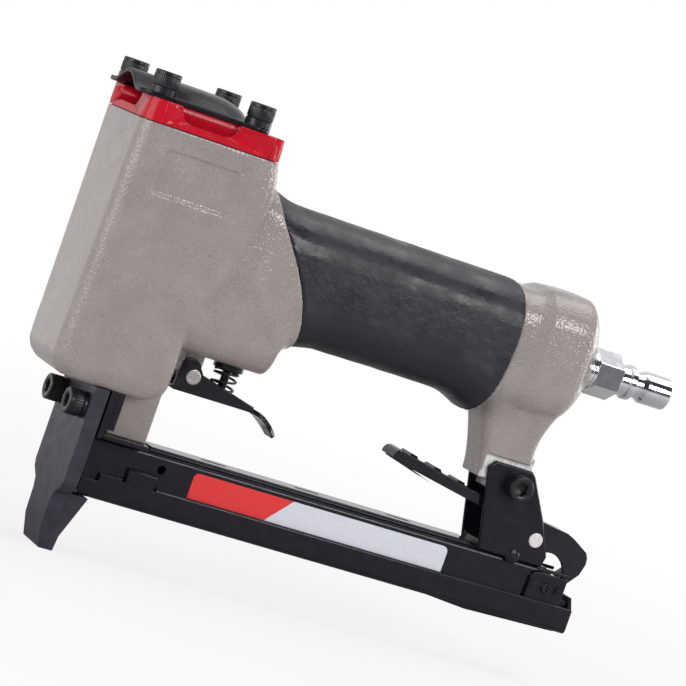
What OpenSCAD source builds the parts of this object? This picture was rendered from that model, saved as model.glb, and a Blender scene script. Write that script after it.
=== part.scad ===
// Pneumatic upholstery stapler: die-cast gun body, piston and driver, trigger valve, and a
// slide-out staple magazine held shut by a sprung latch.
// Millimetres. The nose tip stands on z = 0, the driver points down, the handle points to +X.

/* [Driver and nose] */
// Thickness of the driver blade
blade_t = 0.8; // [0.6:0.1:1.2]
// Width of the driver blade, just under the crown of a staple
blade_w = 11; // [10:0.1:11.2]
// Stroke of the piston and driver
stroke = 36; // [30:1:38]
// Thickness of the nose front plate
plate_t = 4.9; // [4:0.1:6]
// Width of the nose tip
tip_w = 17.2; // [16.5:0.1:18]
// Height of the nose plate's shoulder
shoulder_z = 23.5; // [22:0.5:26]
// Distance between the two nose screws
nose_screw_span = 21.6; // [20:0.2:23]
// Distance from the nose screws to the upright edges of the nose plate
plate_edge = 5.5; // [5:0.1:6]
// Height of the nose screws
nose_screw_z = 47.5; // [46.5:0.1:48]
// Thickness of the steel block that the nose screws bite into
nose_block_t = 2; // [1.8:0.1:2.4]

/* [Magazine] */
// Underside of the sliding channel
channel_low_z = 19.4; // [19:0.1:20]
// Outer width of the sliding channel
channel_w = 17; // [16.8:0.1:18]
// Height of the sliding channel's side walls
channel_h = 8.6; // [7:0.1:9]
// How far the channel's floor bulges down towards its rear
channel_bulge = 1.1; // [0.8:0.1:2]
// Thickness of the magazine's sheet steel
sheet_t = 1.2; // [1:0.1:1.3]
// Outer width of the fixed rail
rail_w = 14; // [13.8:0.1:14.2]
// Top face of the fixed rail
rail_top_z = 39; // [38.5:0.1:39.5]
// Height of the strip along the top of the rail
strip_h = 1.2; // [0.8:0.1:1.2]
// Outer width of the core that the staples ride on
core_w = 9.6; // [9:0.1:9.8]
// Top of the core that the staples ride on
core_top_z = 32.6; // [31.5:0.1:32.8]
// Travel of the magazine when it is pulled out
magazine_travel = 100; // [60:1:110]
// Length of the staple pusher
pusher_len = 16; // [12:0.5:20]
// Radius of the pusher rod
rod_r = 1.2; // [1:0.1:1.4]

/* [Head casting] */
// Top face of the casting
head_top_z = 138.2; // [136:0.2:140]
// Underside of the head
head_low_z = 54.6; // [54.2:0.1:55]
// Length of the head at its top
head_len = 48; // [47:0.5:50]
// How far the front face lies ahead of the driver axis
head_front = 20.8; // [20.5:0.1:22]
// Width of the head at its top
head_w = 43; // [42.6:0.2:46]
// Width of the head at its underside
head_low_w = 37; // [36:0.5:39]
// Length of the head below the trigger ceiling
head_low_len = 38.9; // [38:0.1:40]
// Radius of the head's upright corners
head_corner_r = 6.2; // [5:0.1:7]
// Radius of the rounding round the underside
under_r = 7.5; // [5:0.5:8]
// Depth of the bare panel sunk in the left side of the head
panel_depth = 0.8; // [0.4:0.1:1]
// Length of that panel
panel_len = 26; // [20:0.5:28]
// Height of that panel
panel_h = 14.4; // [10:0.2:16]

/* [Handle and grip] */
// Height of the handle's centre line
handle_z = 106; // [105.5:0.1:106.5]
// Height of the grip
grip_h = 42.2; // [41:0.2:43]
// Width of the grip
grip_w = 34; // [33:0.2:36]
// Radius of the grip's long corners
grip_r = 13.5; // [11:0.5:15]
// Wall of the rubber grip
grip_wall = 2.4; // [1.8:0.1:2.8]
// Radius of the air passage along the handle
air_r = 10; // [8:0.5:11]
// Distance from the driver axis to the rear face of the casting
body_reach = 161.7; // [158:0.5:166]

/* [Rear leg, bracket and latch] */
// Width of the leg that carries the magazine's rear end
leg_w = 16.6; // [16:0.1:18]
// Width of the leg where the bracket clamps it
tongue_w = 13; // [12.6:0.1:13.2]
// Thickness of the bracket's plates
bracket_t = 1.6; // [1.2:0.1:2]
// Height of the bracket screw
bracket_screw_z = 62.4; // [62:0.1:63]
// Height of the latch pin
latch_pin_z = 47.1; // [46.8:0.1:47.5]
// Radius of the latch pin
latch_pin_r = 2.5; // [2.2:0.1:2.6]
// Width of the latch lever
latch_w = 10.8; // [10:0.1:11]

/* [Trigger and valve] */
// Height of the flat ceiling over the trigger
ceiling_z = 72.6; // [72:0.1:73.5]
// How far the trigger pin lies behind the head's lower rear face
pin_back = 9.6; // [9.4:0.1:10]
// How far the trigger pin lies below the ceiling
pin_drop = 7.2; // [7:0.1:7.5]
// Radius of the trigger pin
trigger_pin_r = 2.6; // [2.2:0.1:2.7]
// Width of the trigger over its cheeks
trigger_w = 13.6; // [13.2:0.1:14.4]
// Thickness of the trigger's sheet
trigger_t = 1.5; // [1.2:0.1:1.6]
// How far the valve stem lies behind the trigger pin
stem_reach = 12.8; // [12:0.1:13.5]
// Radius of the valve stem
stem_r = 1.4; // [1.2:0.1:1.6]
// Radius of the valve bush's flange
bush_r = 5; // [4.8:0.1:5.5]
// Radius of the valve bush's body
bush_body_r = 4.2; // [4:0.1:4.4]

/* [Cylinder and cap] */
// Radius of the cylinder's bore
bore_r = 12.5; // [12:0.1:12.8]
// Wall of the cylinder sleeve
sleeve_wall = 1.5; // [1.3:0.1:1.6]
// Radius of the air chamber round the sleeve
chamber_r = 17; // [16.8:0.1:17.2]
// Thickness of the cap's gasket
gasket_t = 0.3; // [0.2:0.1:0.6]
// Height of the cap
cap_h = 7.1; // [6.8:0.1:8]
// Depth of the exhaust windows below the cap's top
window_h = 4.8; // [4:0.1:5]
// Length of the exhaust windows in the cap's sides
window_len = 20; // [16:0.5:20.5]
// Thickness of the exhaust deflector's sheet
deflector_t = 1.5; // [1.2:0.1:1.8]
// Height of the dome pressed into the deflector
dome_h = 4.8; // [4:0.1:5]
// Radius of the dome pressed into the deflector
dome_r = 18.4; // [17:0.1:18.5]
// Height of the spout from the dome to the deflector's front edge
spout_h = 4.4; // [3.6:0.1:4.6]
// Distance between the cap screws along the tool
cap_span_x = 32.8; // [32.6:0.1:33.4]
// Distance from the cap screws' centres to the sides of the head
cap_screw_edge = 5; // [4.6:0.1:5.4]
// Lift of the head valve
valve_lift = 2.5; // [1.5:0.1:3]

/* [Fasteners and plug] */
// Diameter of the screws
screw_d = 5; // [4.8:0.1:5.2]
// Diameter of the screws' socket heads
screw_head_d = 8.5; // [8:0.1:8.6]
// Height of the screws' socket heads
screw_head_h = 5; // [4.5:0.1:5.5]
// Width across flats of the hexagon sockets
socket_af = 4; // [3.5:0.1:4.2]
// Thickness of the nose screws' spring washers
washer_t = 1.2; // [1:0.1:1.5]
// Thickness of the cap screws' spring washers
cap_washer_t = 2; // [1.6:0.1:2.2]
// Width across flats of the air plug's hexagon
plug_af = 14; // [13:0.1:15]
// Radius of the air plug's nose
plug_r = 5.5; // [5.2:0.1:5.8]
// Radius of the air plug's bore
plug_bore_r = 2.6; // [2:0.1:3]
// Radius of the air plug's threaded end
plug_thread_r = 6.4; // [6:0.1:6.6]

/* [Clearances] */
// Radial clearance of a shaft in its bore
run_gap = 0.05; // [0.03:0.01:0.08]
// Clearance between neighbouring pieces
gap = 0.3; // [0.2:0.05:0.35]

/* [Hidden] */
$fn = 48;
corner_steps = 5;
plate_back = 0.15;
slot_t = blade_t + 2 * run_gap;
axis_x = plate_back + slot_t / 2;
slot_back = plate_back + slot_t;
slot_w = blade_w + 2 * gap;

// Driver and nose heights
plate_top_z = head_low_z;
plate_front = plate_back - plate_t;
nose_sheet_t = 1.5;
plate_w = nose_screw_span + 2 * plate_edge;
back_sheet_x = slot_back + nose_sheet_t;
foot_x = back_sheet_x + nose_sheet_t;
block_rear_x = foot_x + nose_block_t;
foot_top_z = rail_top_z + nose_sheet_t;
post_len = 14.1;
post_w = 15;

// Head casting
head_front_x = axis_x - head_front;
head_rear_x = head_front_x + head_len;
low_rear_x = head_front_x + head_low_len;
crease_low_z = ceiling_z + 8;
crease_high_z = head_top_z - 20;
saddle_z = head_top_z - 8;
neck_top_z = head_top_z - 7;

// Handle, grip and rear end
grip_top_z = handle_z + grip_h / 2;
grip_low_z = handle_z - grip_h / 2;
core_h = grip_h - 2 * grip_wall;
core_wd = grip_w - 2 * grip_wall;
core_r = grip_r - grip_wall;
ceiling_end_x = low_rear_x + 29.9;
cove_len = 5.9;
lip_low_x = ceiling_end_x + cove_len;
rear_x = axis_x + body_reach;
boss_face_x = rear_x - 1.6;
grip_end_x = rear_x - 33.8;

// Leg, bracket and latch
bracket_x = rear_x - 13.9;
latch_x = rear_x - 0.5;
bracket_in = tongue_w / 2;
bracket_out = bracket_in + bracket_t;
base_top_z = rail_top_z + strip_h + bracket_t;
leg_low_z = bracket_screw_z - 0.6;
tongue_low_z = bracket_screw_z - 3.8;
rail_end_x = latch_x + 17.4;
hook_low_z = 35.6;
rail_open_x = latch_x + 8.6;

// Magazine
rail_in = rail_w / 2 - sheet_t;
channel_in = channel_w / 2 - sheet_t;
channel_floor_z = channel_low_z + sheet_t;
rail_low_z = channel_floor_z + 2.6;
rail_front_x = plate_back + gap;
core_x = slot_back + gap;
channel_end_x = latch_x + 21.7;
notch_x = latch_x + 2;
end_block_x = notch_x + 0.9;
end_face = rail_in + 1.1;
rod_z = channel_floor_z + 5.9;
core_wall = 1.2;
core_slot_w = 3;
pusher_t = 0.7;
pusher_rest_x = core_x + 0.6;

// Trigger and valve
trigger_pin_x = low_rear_x + pin_back;
trigger_pin_z = ceiling_z - pin_drop;
trigger_low_z = trigger_pin_z - 5.5;
web_top_z = trigger_low_z + trigger_t;
stem_x = trigger_pin_x + stem_reach;
lug_w = trigger_w - 2 * trigger_t - 2 * gap;
bush_low_z = ceiling_z - 2.3;

// Cylinder, piston and cap
sleeve_r = bore_r + sleeve_wall;
floor_z = head_low_z + 7;
bumper_top_z = floor_z + 8.4;
piston_low_z = bumper_top_z + gap + stroke;
piston_h = 11;
boss_h = 6.4;
boss_r = 7.2;
driver_pin_r = 1.25;
sleeve_low_z = bumper_top_z - 1.5;
sleeve_top_z = piston_low_z + piston_h + 1.4;
ledge_z = ceiling_z + 11.4;
valve_low_z = sleeve_top_z + gap;
valve_disc_h = 5;
valve_stem_r = 9;
cap_low_z = head_top_z + gasket_t;
cap_top_z = cap_low_z + cap_h;
deflector_top_z = cap_top_z + deflector_t;
cap_span_y = head_w - 2 * cap_screw_edge;
cap_head_z = deflector_top_z + cap_washer_t;
cap_mid_x = head_front_x + head_len / 2;

// Finishes
paint = [0.62, 0.59, 0.56];
red = [0.77, 0.06, 0.13];
black = [0.14, 0.13, 0.15];
rubber = [0.17, 0.16, 0.19];
steel = [0.72, 0.72, 0.71];
chrome = [0.86, 0.87, 0.89];
seal = [0.25, 0.16, 0.12];

// Helpers: curves, skins and sweeps

function mix(a, b, t) = a + (b - a) * t;

function bezier(p, t) =
    pow(1 - t, 3) * p[0] + 3 * t * pow(1 - t, 2) * p[1]
    + 3 * t * t * (1 - t) * p[2] + pow(t, 3) * p[3];

function curve(p, steps) = [for (i = [0:steps]) bezier(p, i / steps)];

// Corner points of a rounded rectangle about the origin, counter-clockwise
function round_points(w, h, r) = [
    for (c = [[1, 1, 0], [-1, 1, 90], [-1, -1, 180], [1, -1, 270]])
        for (i = [0:corner_steps])
            let (a = c[2] + 90 * i / corner_steps)
                [c[0] * (w / 2 - r) + r * cos(a), c[1] * (h / 2 - r) + r * sin(a)]
];

// A level section from x0 to x1 at height z
function level_ring(z, x0, x1, w, r) =
    [for (p = round_points(x1 - x0, w, r)) [(x0 + x1) / 2 + p.x, p.y, z]];

// An upright section at x from height z0 to z1
function cross_ring(x, z0, z1, w, r) =
    [for (p = round_points(w, z1 - z0, r)) [x, p.x, (z0 + z1) / 2 + p.y]];

// Skin over rings of equal counts, closed at both ends
module skin(rings) {
    n = len(rings[0]);
    last = len(rings) - 1;
    sides = [
        for (i = [0:last - 1]) for (j = [0:n - 1])
            let (a = i * n + j, b = i * n + (j + 1) % n, c = a + n, d = b + n)
                each [[a, d, b], [a, c, d]]
    ];
    caps = [for (j = [1:n - 2]) each [[0, j, j + 1], [last * n, last * n + j + 1, last * n + j]]];
    polyhedron(points = [for (r = rings) each r], faces = concat(sides, caps));
}

function unit(v) = v / norm(v);

// Rings of a round wire along a path; side[i] is a direction across the path at point i
function wire_rings(path, side, r, sides = 6) = [
    for (i = [0:len(path) - 1])
        let (
            t = unit(path[min(i + 1, len(path) - 1)] - path[max(i - 1, 0)]),
            v = unit(cross(t, side[i])),
            u = cross(v, t)
        )
            [for (k = [0:sides - 1]) path[i] + r * (cos(360 * k / sides) * u + sin(360 * k / sides) * v)]
];

// Coil about +Z from height 0 to h, with ends that run straight along Z
function coil_path(h, r, turns, wire_r) =
    let (steps = round(turns * 8), rise = h - 8 * wire_r)
    concat(
        [[r, 0, 0], [r, 0, 2 * wire_r]],
        [for (i = [1:steps - 1]) let (a = 360 * turns * i / steps)
            [r * cos(a), r * sin(a), 4 * wire_r + rise * i / steps]],
        [let (a = 360 * turns) [r * cos(a), r * sin(a), h - 2 * wire_r]],
        [let (a = 360 * turns) [r * cos(a), r * sin(a), h]]
    );

function radial(path) = [for (p = path) unit([p.x, p.y, 0])];

// Least clear distance between points at least half a turn apart on one wire
function self_gap(path, wire_r, apart = 5) = min([
    for (i = [0:len(path) - 1]) for (j = [i + apart:1:len(path) - 1]) norm(path[i] - path[j])
]) - 2 * wire_r;

module coil(h, r, turns, wire_r, name) {
    path = coil_path(h, r, turns, wire_r);
    echo(str(name, " least gap to itself, mm: ", self_gap(path, wire_r)));
    skin(wire_rings(path, radial(path), wire_r));
}

// Extrusions of a drawing: across the tool, along it, and rounded rectangles with true arcs

module across(w) {
    rotate([90, 0, 0]) linear_extrude(w, center = true) children();
}

module along(x0, x1) {
    translate([x0, 0, 0]) rotate([90, 0, 90]) linear_extrude(x1 - x0) children();
}

module round_rect(w, h, r) {
    square([w - 2 * r, h], center = true);
    square([w, h - 2 * r], center = true);
    for (x = [-1, 1], y = [-1, 1]) translate([x * (w / 2 - r), y * (h / 2 - r)]) circle(r);
}

// A strip of sheet whose outer edge follows points, thickened to the right of their run
function strip_points(p, t) = concat(p, [
    for (i = [len(p) - 1:-1:0])
        let (d = unit(p[min(i + 1, len(p) - 1)] - p[max(i - 1, 0)])) p[i] + t * [d.y, -d.x]
]);

// Trough section, open upwards, with rounded bends; its floor is at the origin
module trough(w, h, t, bend) {
    difference() {
        translate([0, h / 2 + bend / 2]) round_rect(w, h + bend, bend);
        translate([0, t + h]) round_rect(w - 2 * t, 2 * h, max(bend - t, 0.2));
        translate([-w, h]) square([2 * w, 2 * h]);
    }
}

module at_cap_screws() {
    for (x = [-1, 1], y = [-1, 1])
        translate([axis_x + x * cap_span_x / 2, y * cap_span_y / 2, 0]) children();
}

module at_nose_screws() {
    for (y = [-1, 1])
        translate([0, y * nose_screw_span / 2, nose_screw_z]) rotate([0, -90, 0]) children();
}

// Socket screw pointing down: the head stands on z = 0
module socket_screw(shank) {
    edge = 0.5;
    difference() {
        union() {
            rotate_extrude() polygon([
                [0, 0], [screw_head_d / 2, 0], [screw_head_d / 2, screw_head_h - edge],
                [screw_head_d / 2 - edge, screw_head_h], [0, screw_head_h]
            ]);
            translate([0, 0, -shank]) cylinder(d = screw_d, h = shank + 0.1);
        }
        translate([0, 0, screw_head_h - 2.6]) cylinder(d = socket_af / cos(30), h = 3, $fn = 6);
    }
}

// Split spring washer lying on z = 0
module lock_washer(t) {
    difference() {
        cylinder(d = screw_head_d, h = t);
        translate([0, 0, -1]) cylinder(d = screw_d + 2 * gap, h = t + 2);
        translate([0, -0.4, -1]) rotate([0, 0, 20]) cube([screw_head_d, 0.8, t + 2]);
    }
}

module o_ring(r, section) {
    rotate_extrude() translate([r, 0]) circle(section, $fn = 24);
}

// Outer form of the handle, shared by the casting's neck and the grip

function handle_high(x) = lookup(x, [
    [head_rear_x + 2, grip_top_z + 4], [head_rear_x + 7, grip_top_z + 2.6],
    [head_rear_x + 12, grip_top_z + 0.9], [head_rear_x + 18, grip_top_z + 0.1],
    [head_rear_x + 24, grip_top_z], [grip_end_x, grip_top_z - 0.4]
]);

function handle_low(x) = lookup(x, [
    [lip_low_x - 1, grip_low_z - 2.2], [lip_low_x + 4, grip_low_z - 0.9], [lip_low_x + 10, grip_low_z],
    [grip_end_x - 20, grip_low_z], [grip_end_x - 13, grip_low_z - 1.1],
    [grip_end_x - 6, grip_low_z - 4], [grip_end_x, grip_low_z - 6]
]);

function handle_width(x) = lookup(x, [
    [head_rear_x, grip_w + 2], [lip_low_x, grip_w + 0.6], [lip_low_x + 10, grip_w], [grip_end_x, grip_w]
]);

// Edge of the grip towards the head, and towards the rear, seen from the side
front_lip = curve([
    [head_rear_x + 4.6, head_top_z - 4], [head_rear_x + 3.4, head_top_z - 20],
    [lip_low_x + 1, handle_z + 3.5], [lip_low_x - 0.5, grip_low_z - 4]
], 12);
rear_lip = curve([
    [grip_end_x - 4.4, grip_top_z + 3], [grip_end_x - 0.6, handle_z + 10],
    [grip_end_x + 1, handle_z - 8], [grip_end_x - 8, grip_low_z - 9]
], 10);

// All that lies behind the front lip and ahead of the rear lip
module grip_zone(shrink) {
    across(2 * head_w) polygon(concat(
        [for (p = front_lip) p + [shrink, 0]],
        [for (i = [len(rear_lip) - 1:-1:0]) rear_lip[i] - [shrink, 0]]
    ));
}

module handle_core(grow) {
    along(head_rear_x - 12, grip_end_x + 10)
        translate([0, handle_z]) round_rect(core_wd + 2 * grow, core_h + 2 * grow, core_r + grow);
}

// Gun body: one die casting of head, neck, handle core, rear boss, leg and front post

function head_rear_at(z) = lookup(z, [
    [ceiling_z, low_rear_x], [crease_low_z, low_rear_x],
    [crease_high_z, head_rear_x + 0.4], [saddle_z, head_rear_x + 2], [head_top_z, head_rear_x]
]);

function head_ring(z) =
    let (
        t = (head_top_z - z) / (head_top_z - head_low_z),
        u = max(0, head_low_z + under_r - z),
        inset = under_r - sqrt(max(0, under_r * under_r - u * u)),
        w = mix(head_w, head_low_w, t) - 1.2 * inset
    )
    level_ring(z, head_front_x - 0.8 * t + inset, head_rear_at(z) - 0.6 * inset, w, head_corner_r);

module head_form() {
    under = [for (a = [0:22.5:67.5]) head_low_z + under_r * (1 - cos(a))];
    levels = concat(under, [
        head_low_z + under_r, ceiling_z, crease_low_z, crease_high_z, saddle_z, head_top_z
    ]);
    skin([for (z = levels) head_ring(z)]);
}

module neck_form() {
    rise = handle_low(lip_low_x) - ceiling_z;
    flat = [head_rear_x - 16, head_rear_x + 2, head_rear_x + 7, head_rear_x + 12];
    stations = concat(
        [for (x = flat) [x, ceiling_z]],
        [for (a = [0:22.5:90]) [lip_low_x - cove_len * cos(a), ceiling_z + rise * pow(sin(a), 1.3)]],
        [[lip_low_x + 3, ceiling_z + rise]]
    );
    difference() {
        skin([for (s = stations)
            cross_ring(s.x, s.y, handle_high(s.x), handle_width(s.x) - 0.6, grip_r - 4)]);
        grip_zone(0);
    }
}

module rear_form() {
    stations = [
        [grip_end_x - 14, grip_low_z + 1, grip_top_z - 1.2, grip_w - 2, 11],
        [rear_x - 29, grip_low_z + 1, grip_top_z - 1, grip_w - 1.6, 11],
        [rear_x - 25.3, grip_low_z + 0.6, grip_top_z + 0.6, grip_w + 1, 12],
        [rear_x - 13, grip_low_z + 1.4, grip_top_z + 1.3, grip_w + 2, 12.5],
        [rear_x - 10, grip_low_z + 2, grip_top_z + 1, grip_w + 1, 12.5],
        [rear_x - 7.6, grip_low_z + 3.4, grip_top_z - 0.8, grip_w - 3, 12],
        [rear_x - 5, grip_low_z + 6.4, grip_top_z - 4.4, grip_w - 9.4, 10.5],
        [boss_face_x, grip_low_z + 12.8, grip_top_z - 12, grip_w - 18.6, 7]
    ];
    difference() {
        skin([for (s = stations) cross_ring(s[0], s[1], s[2], s[3], s[4])]);
        grip_zone(0);
    }
}

module leg_form() {
    stations = [
        [leg_low_z, rear_x - 28.2, rear_x - 9.5, leg_w, 3],
        [leg_low_z + 6, rear_x - 29.2, rear_x - 9.9, leg_w, 3.4],
        [leg_low_z + 14, rear_x - 31.6, rear_x - 10.4, leg_w + 0.8, 4],
        [leg_low_z + 20, rear_x - 33.8, rear_x - 9.6, leg_w + 3, 5],
        [leg_low_z + 26, rear_x - 36.3, rear_x - 7.9, leg_w + 7, 6],
        [leg_low_z + 32, rear_x - 37.3, rear_x - 6.3, leg_w + 9, 7]
    ];
    difference() {
        skin([for (s = stations) level_ring(s[0], s[1], s[2], s[3], s[4])]);
        grip_zone(0);
        for (y = [-1, 1])
            translate([rear_x - 27.8, y * (bracket_in + leg_w) - leg_w, 0])
                cube([60, 2 * leg_w, bracket_screw_z + 8]);
    }
}

module gun_body() {
    color(paint) difference() {
        union() {
            head_form();
            neck_form();
            handle_core(0);
            rear_form();
            leg_form();
            // Tongue that the bracket clamps
            translate([bracket_x - 8, -bracket_in, tongue_low_z])
                cube([12.4, 2 * bracket_in, bracket_screw_z + 10 - tongue_low_z]);
            // Post that stands on the magazine's foot
            translate([block_rear_x + 0.2, -post_w / 2, foot_top_z])
                cube([post_len - 0.2, post_w, head_low_z + 4 - foot_top_z]);
            // Lug between the trigger's cheeks
            translate([trigger_pin_x - 4, -lug_w / 2, trigger_pin_z])
                cube([6.4, lug_w, ceiling_z + 2 - trigger_pin_z]);
            translate([trigger_pin_x, 0, trigger_pin_z]) rotate([90, 0, 0])
                cylinder(r = trigger_pin_r + 1, h = lug_w, center = true);
        }
        translate([axis_x, 0, 0]) {
            translate([0, 0, ledge_z]) cylinder(r = chamber_r, h = head_top_z);
            translate([0, 0, floor_z]) cylinder(r = sleeve_r + run_gap, h = ledge_z);
            translate([-slot_t, -slot_w / 2, 0]) cube([2 * slot_t, slot_w, floor_z + 1]);
        }
        at_cap_screws() translate([0, 0, head_top_z - 15]) cylinder(d = screw_d + 2 * run_gap, h = 30);
        // Air passage from the plug's thread to the chamber, and the trigger valve's bore
        translate([axis_x, 0, handle_z]) rotate([0, 90, 0]) cylinder(r = air_r, h = rear_x - 14 - axis_x);
        translate([rear_x - 15, 0, handle_z]) rotate([0, 90, 0])
            cylinder(r = plug_thread_r + run_gap, h = 30);
        translate([stem_x, 0, ceiling_z - 1]) cylinder(r = bush_body_r + run_gap, h = handle_z - ceiling_z);
        translate([trigger_pin_x, 0, trigger_pin_z]) rotate([90, 0, 0])
            cylinder(r = trigger_pin_r + run_gap, h = 2 * lug_w, center = true);
        translate([bracket_x, 0, bracket_screw_z]) rotate([90, 0, 0])
            cylinder(d = screw_d + 2 * run_gap, h = 2 * leg_w, center = true);
        side_panel();
    }
}

// Bare panel sunk in the left side, square to the side's taper
module side_panel() {
    lean = atan((head_w - head_low_w) / 2 / (head_top_z - head_low_z));
    mid_z = head_top_z - 13.7;
    side_y = mix(head_w, head_low_w, 13.7 / (head_top_z - head_low_z)) / 2;
    translate([axis_x + 2, -side_y, mid_z]) rotate([90 + lean, 0, 0])
        translate([0, 0, -panel_depth]) linear_extrude(4) round_rect(panel_len, panel_h, 2);
}

// Cap over the cylinder, its gasket, and the exhaust deflector on top

module cap_outline(inset) {
    translate([cap_mid_x, 0]) round_rect(head_len - 2 * inset, head_w - 2 * inset, head_corner_r - inset);
}

module cap_gasket() {
    color(black) translate([0, 0, head_top_z]) difference() {
        linear_extrude(gasket_t) cap_outline(0.9);
        translate([axis_x, 0, -1]) cylinder(r = chamber_r, h = 5);
        at_cap_screws() translate([0, 0, -1]) cylinder(d = screw_d + 2 * gap, h = 5);
    }
}

module cylinder_cap() {
    window_z = cap_top_z - window_h;
    pocket = 3;
    front_lean = 6;
    rear_lean = 13;
    color(red) difference() {
        translate([0, 0, cap_low_z]) linear_extrude(cap_h) cap_outline(0);
        translate([axis_x, 0, 0]) {
            cylinder(r = valve_stem_r + run_gap, h = cap_top_z + 5);
            // Exhaust way from the middle to the front, and pockets in the sides
            translate([0, 0, window_z]) cylinder(r = dome_r - 4, h = 20);
            translate([-head_front - 5, 0, window_z + 10])
                along(0, head_front + 5) round_rect(19, 20, 3);
            for (y = [-1, 1])
                translate([0, y * (head_w / 2 - pocket + 5), window_z + 10])
                    across(10) round_rect(window_len, 20, 4.2);
        }
        at_cap_screws() cylinder(d = screw_d + 2 * gap, h = cap_top_z + 5);
        // Drafted front and rear faces
        translate([head_front_x, 0, cap_low_z]) rotate([0, front_lean, 0])
            translate([-20, -head_w, -10]) cube([20, 2 * head_w, 40]);
        translate([head_rear_x, 0, cap_low_z]) rotate([0, -rear_lean, 0])
            translate([0, -head_w, -10]) cube([20, 2 * head_w, 40]);
    }
}

module exhaust_deflector() {
    steps = 6;
    sink = 0.02;
    front = axis_x - head_front - 2.6;
    rear = axis_x + head_len - head_front - 5.8;
    half = cap_span_y / 2 - 4.6;
    dome = [for (i = [0:steps]) let (u = i / steps)
        [dome_r * (1 - u), dome_h * (1 - pow(1 - u, 4)) - sink]];
    spout = [for (i = [-steps:steps]) let (u = i / steps) [half * u, spout_h * pow(1 - u * u, 2) - sink]];
    dome_base = [[0, -1], [dome_r, -1]];
    spout_base = [[half, -1], [-half, -1]];
    color(black) difference() {
        union() {
            translate([(front + rear) / 2, 0, cap_top_z]) linear_extrude(deflector_t)
                round_rect(rear - front, head_w - 2, head_corner_r);
            translate([axis_x, 0, deflector_top_z]) rotate_extrude() polygon(concat(dome, dome_base));
            translate([0, 0, deflector_top_z]) along(front, axis_x) polygon(concat(spout, spout_base));
        }
        // Inside of the dome and of the spout that leads from it to the front edge
        translate([axis_x, 0, cap_top_z]) rotate_extrude() polygon(concat(dome, dome_base));
        translate([0, 0, cap_top_z]) along(front - 1, axis_x) polygon(concat(spout, spout_base));
        at_cap_screws() translate([0, 0, cap_top_z - 1]) cylinder(d = screw_d + 2 * gap, h = 10);
    }
}

module cap_screws() {
    color(black) at_cap_screws() translate([0, 0, cap_head_z]) socket_screw(22);
}

module cap_lock_washers() {
    color(black) at_cap_screws() translate([0, 0, deflector_top_z]) lock_washer(cap_washer_t);
}

// Cylinder, piston and driver

module cylinder_sleeve() {
    flange_h = 4;
    color(steel) translate([axis_x, 0, 0]) difference() {
        union() {
            translate([0, 0, sleeve_low_z]) cylinder(r = sleeve_r, h = sleeve_top_z - sleeve_low_z);
            translate([0, 0, ledge_z]) cylinder(r = chamber_r - run_gap, h = flange_h);
        }
        cylinder(r = bore_r, h = sleeve_top_z + 5);
        translate([0, 0, ledge_z + 1]) rotate_extrude()
            translate([chamber_r - 2, 0]) square([3, flange_h - 2]);
    }
}

module cylinder_seal() {
    section = 0.85;
    color(seal) translate([axis_x, 0, ledge_z + 2]) o_ring(chamber_r - run_gap - section - 0.05, section);
}

module piston_bumper() {
    color(seal) translate([axis_x, 0, floor_z]) difference() {
        union() {
            cylinder(r = sleeve_r - gap, h = sleeve_low_z - gap - floor_z);
            cylinder(r = bore_r - gap, h = bumper_top_z - floor_z);
        }
        translate([0, 0, -1]) cylinder(r = boss_r + gap, h = 30);
    }
}

module piston() {
    color(steel) translate([axis_x, 0, piston_low_z]) difference() {
        union() {
            cylinder(r = bore_r - run_gap, h = piston_h);
            translate([0, 0, -boss_h]) cylinder(r = boss_r, h = boss_h + 1);
        }
        translate([0, 0, piston_h - 3]) cylinder(r = bore_r - 4, h = 10);
        translate([-slot_t / 2, -slot_w / 2, -20]) cube([slot_t, slot_w, 24]);
        translate([0, 0, -boss_h / 2]) rotate([0, 90, 0])
            cylinder(r = driver_pin_r + run_gap, h = 40, center = true);
        translate([0, 0, 5]) rotate_extrude() translate([bore_r - 1.8, 0]) square([5, 1.9]);
    }
}

module piston_ring() {
    section = 0.8;
    color(seal) translate([axis_x, 0, piston_low_z + 5.95])
        o_ring(bore_r - run_gap - section - 0.05, section);
}

module driver_blade() {
    tip_z = piston_low_z - (bumper_top_z + gap) + 0.2;
    color(steel) difference() {
        translate([axis_x - blade_t / 2, -blade_w / 2, tip_z])
            cube([blade_t, blade_w, piston_low_z + 3.5 - tip_z]);
        translate([axis_x, 0, piston_low_z - boss_h / 2]) rotate([0, 90, 0])
            cylinder(r = driver_pin_r + run_gap, h = 40, center = true);
    }
}

module driver_pin() {
    color(steel) translate([axis_x, 0, piston_low_z - boss_h / 2]) rotate([0, 90, 0])
        cylinder(r = driver_pin_r, h = 2 * boss_r - 1, center = true);
}

module head_valve() {
    tube_r = valve_stem_r - 2.6;
    color(steel) translate([axis_x, 0, valve_low_z]) difference() {
        union() {
            cylinder(r = sleeve_r + 1.4, h = valve_disc_h);
            cylinder(r = valve_stem_r, h = cap_low_z + 3.8 - valve_low_z);
        }
        translate([0, 0, -1]) cylinder(r = tube_r, h = 60);
        translate([0, 0, 1.6]) rotate_extrude() translate([sleeve_r - 0.4, 0]) square([5, 1.9]);
    }
}

module head_valve_seal() {
    section = 0.8;
    color(seal) translate([axis_x, 0, valve_low_z + 2.55]) o_ring(sleeve_r + 0.5, section);
}

module head_valve_spring() {
    low = valve_low_z + valve_disc_h + 0.1;
    color(steel) translate([axis_x, 0, low])
        coil(cap_low_z - 0.1 - low, valve_stem_r + 1.8, 3, 0.7, "head_valve_spring");
}

// Rubber grip

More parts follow.
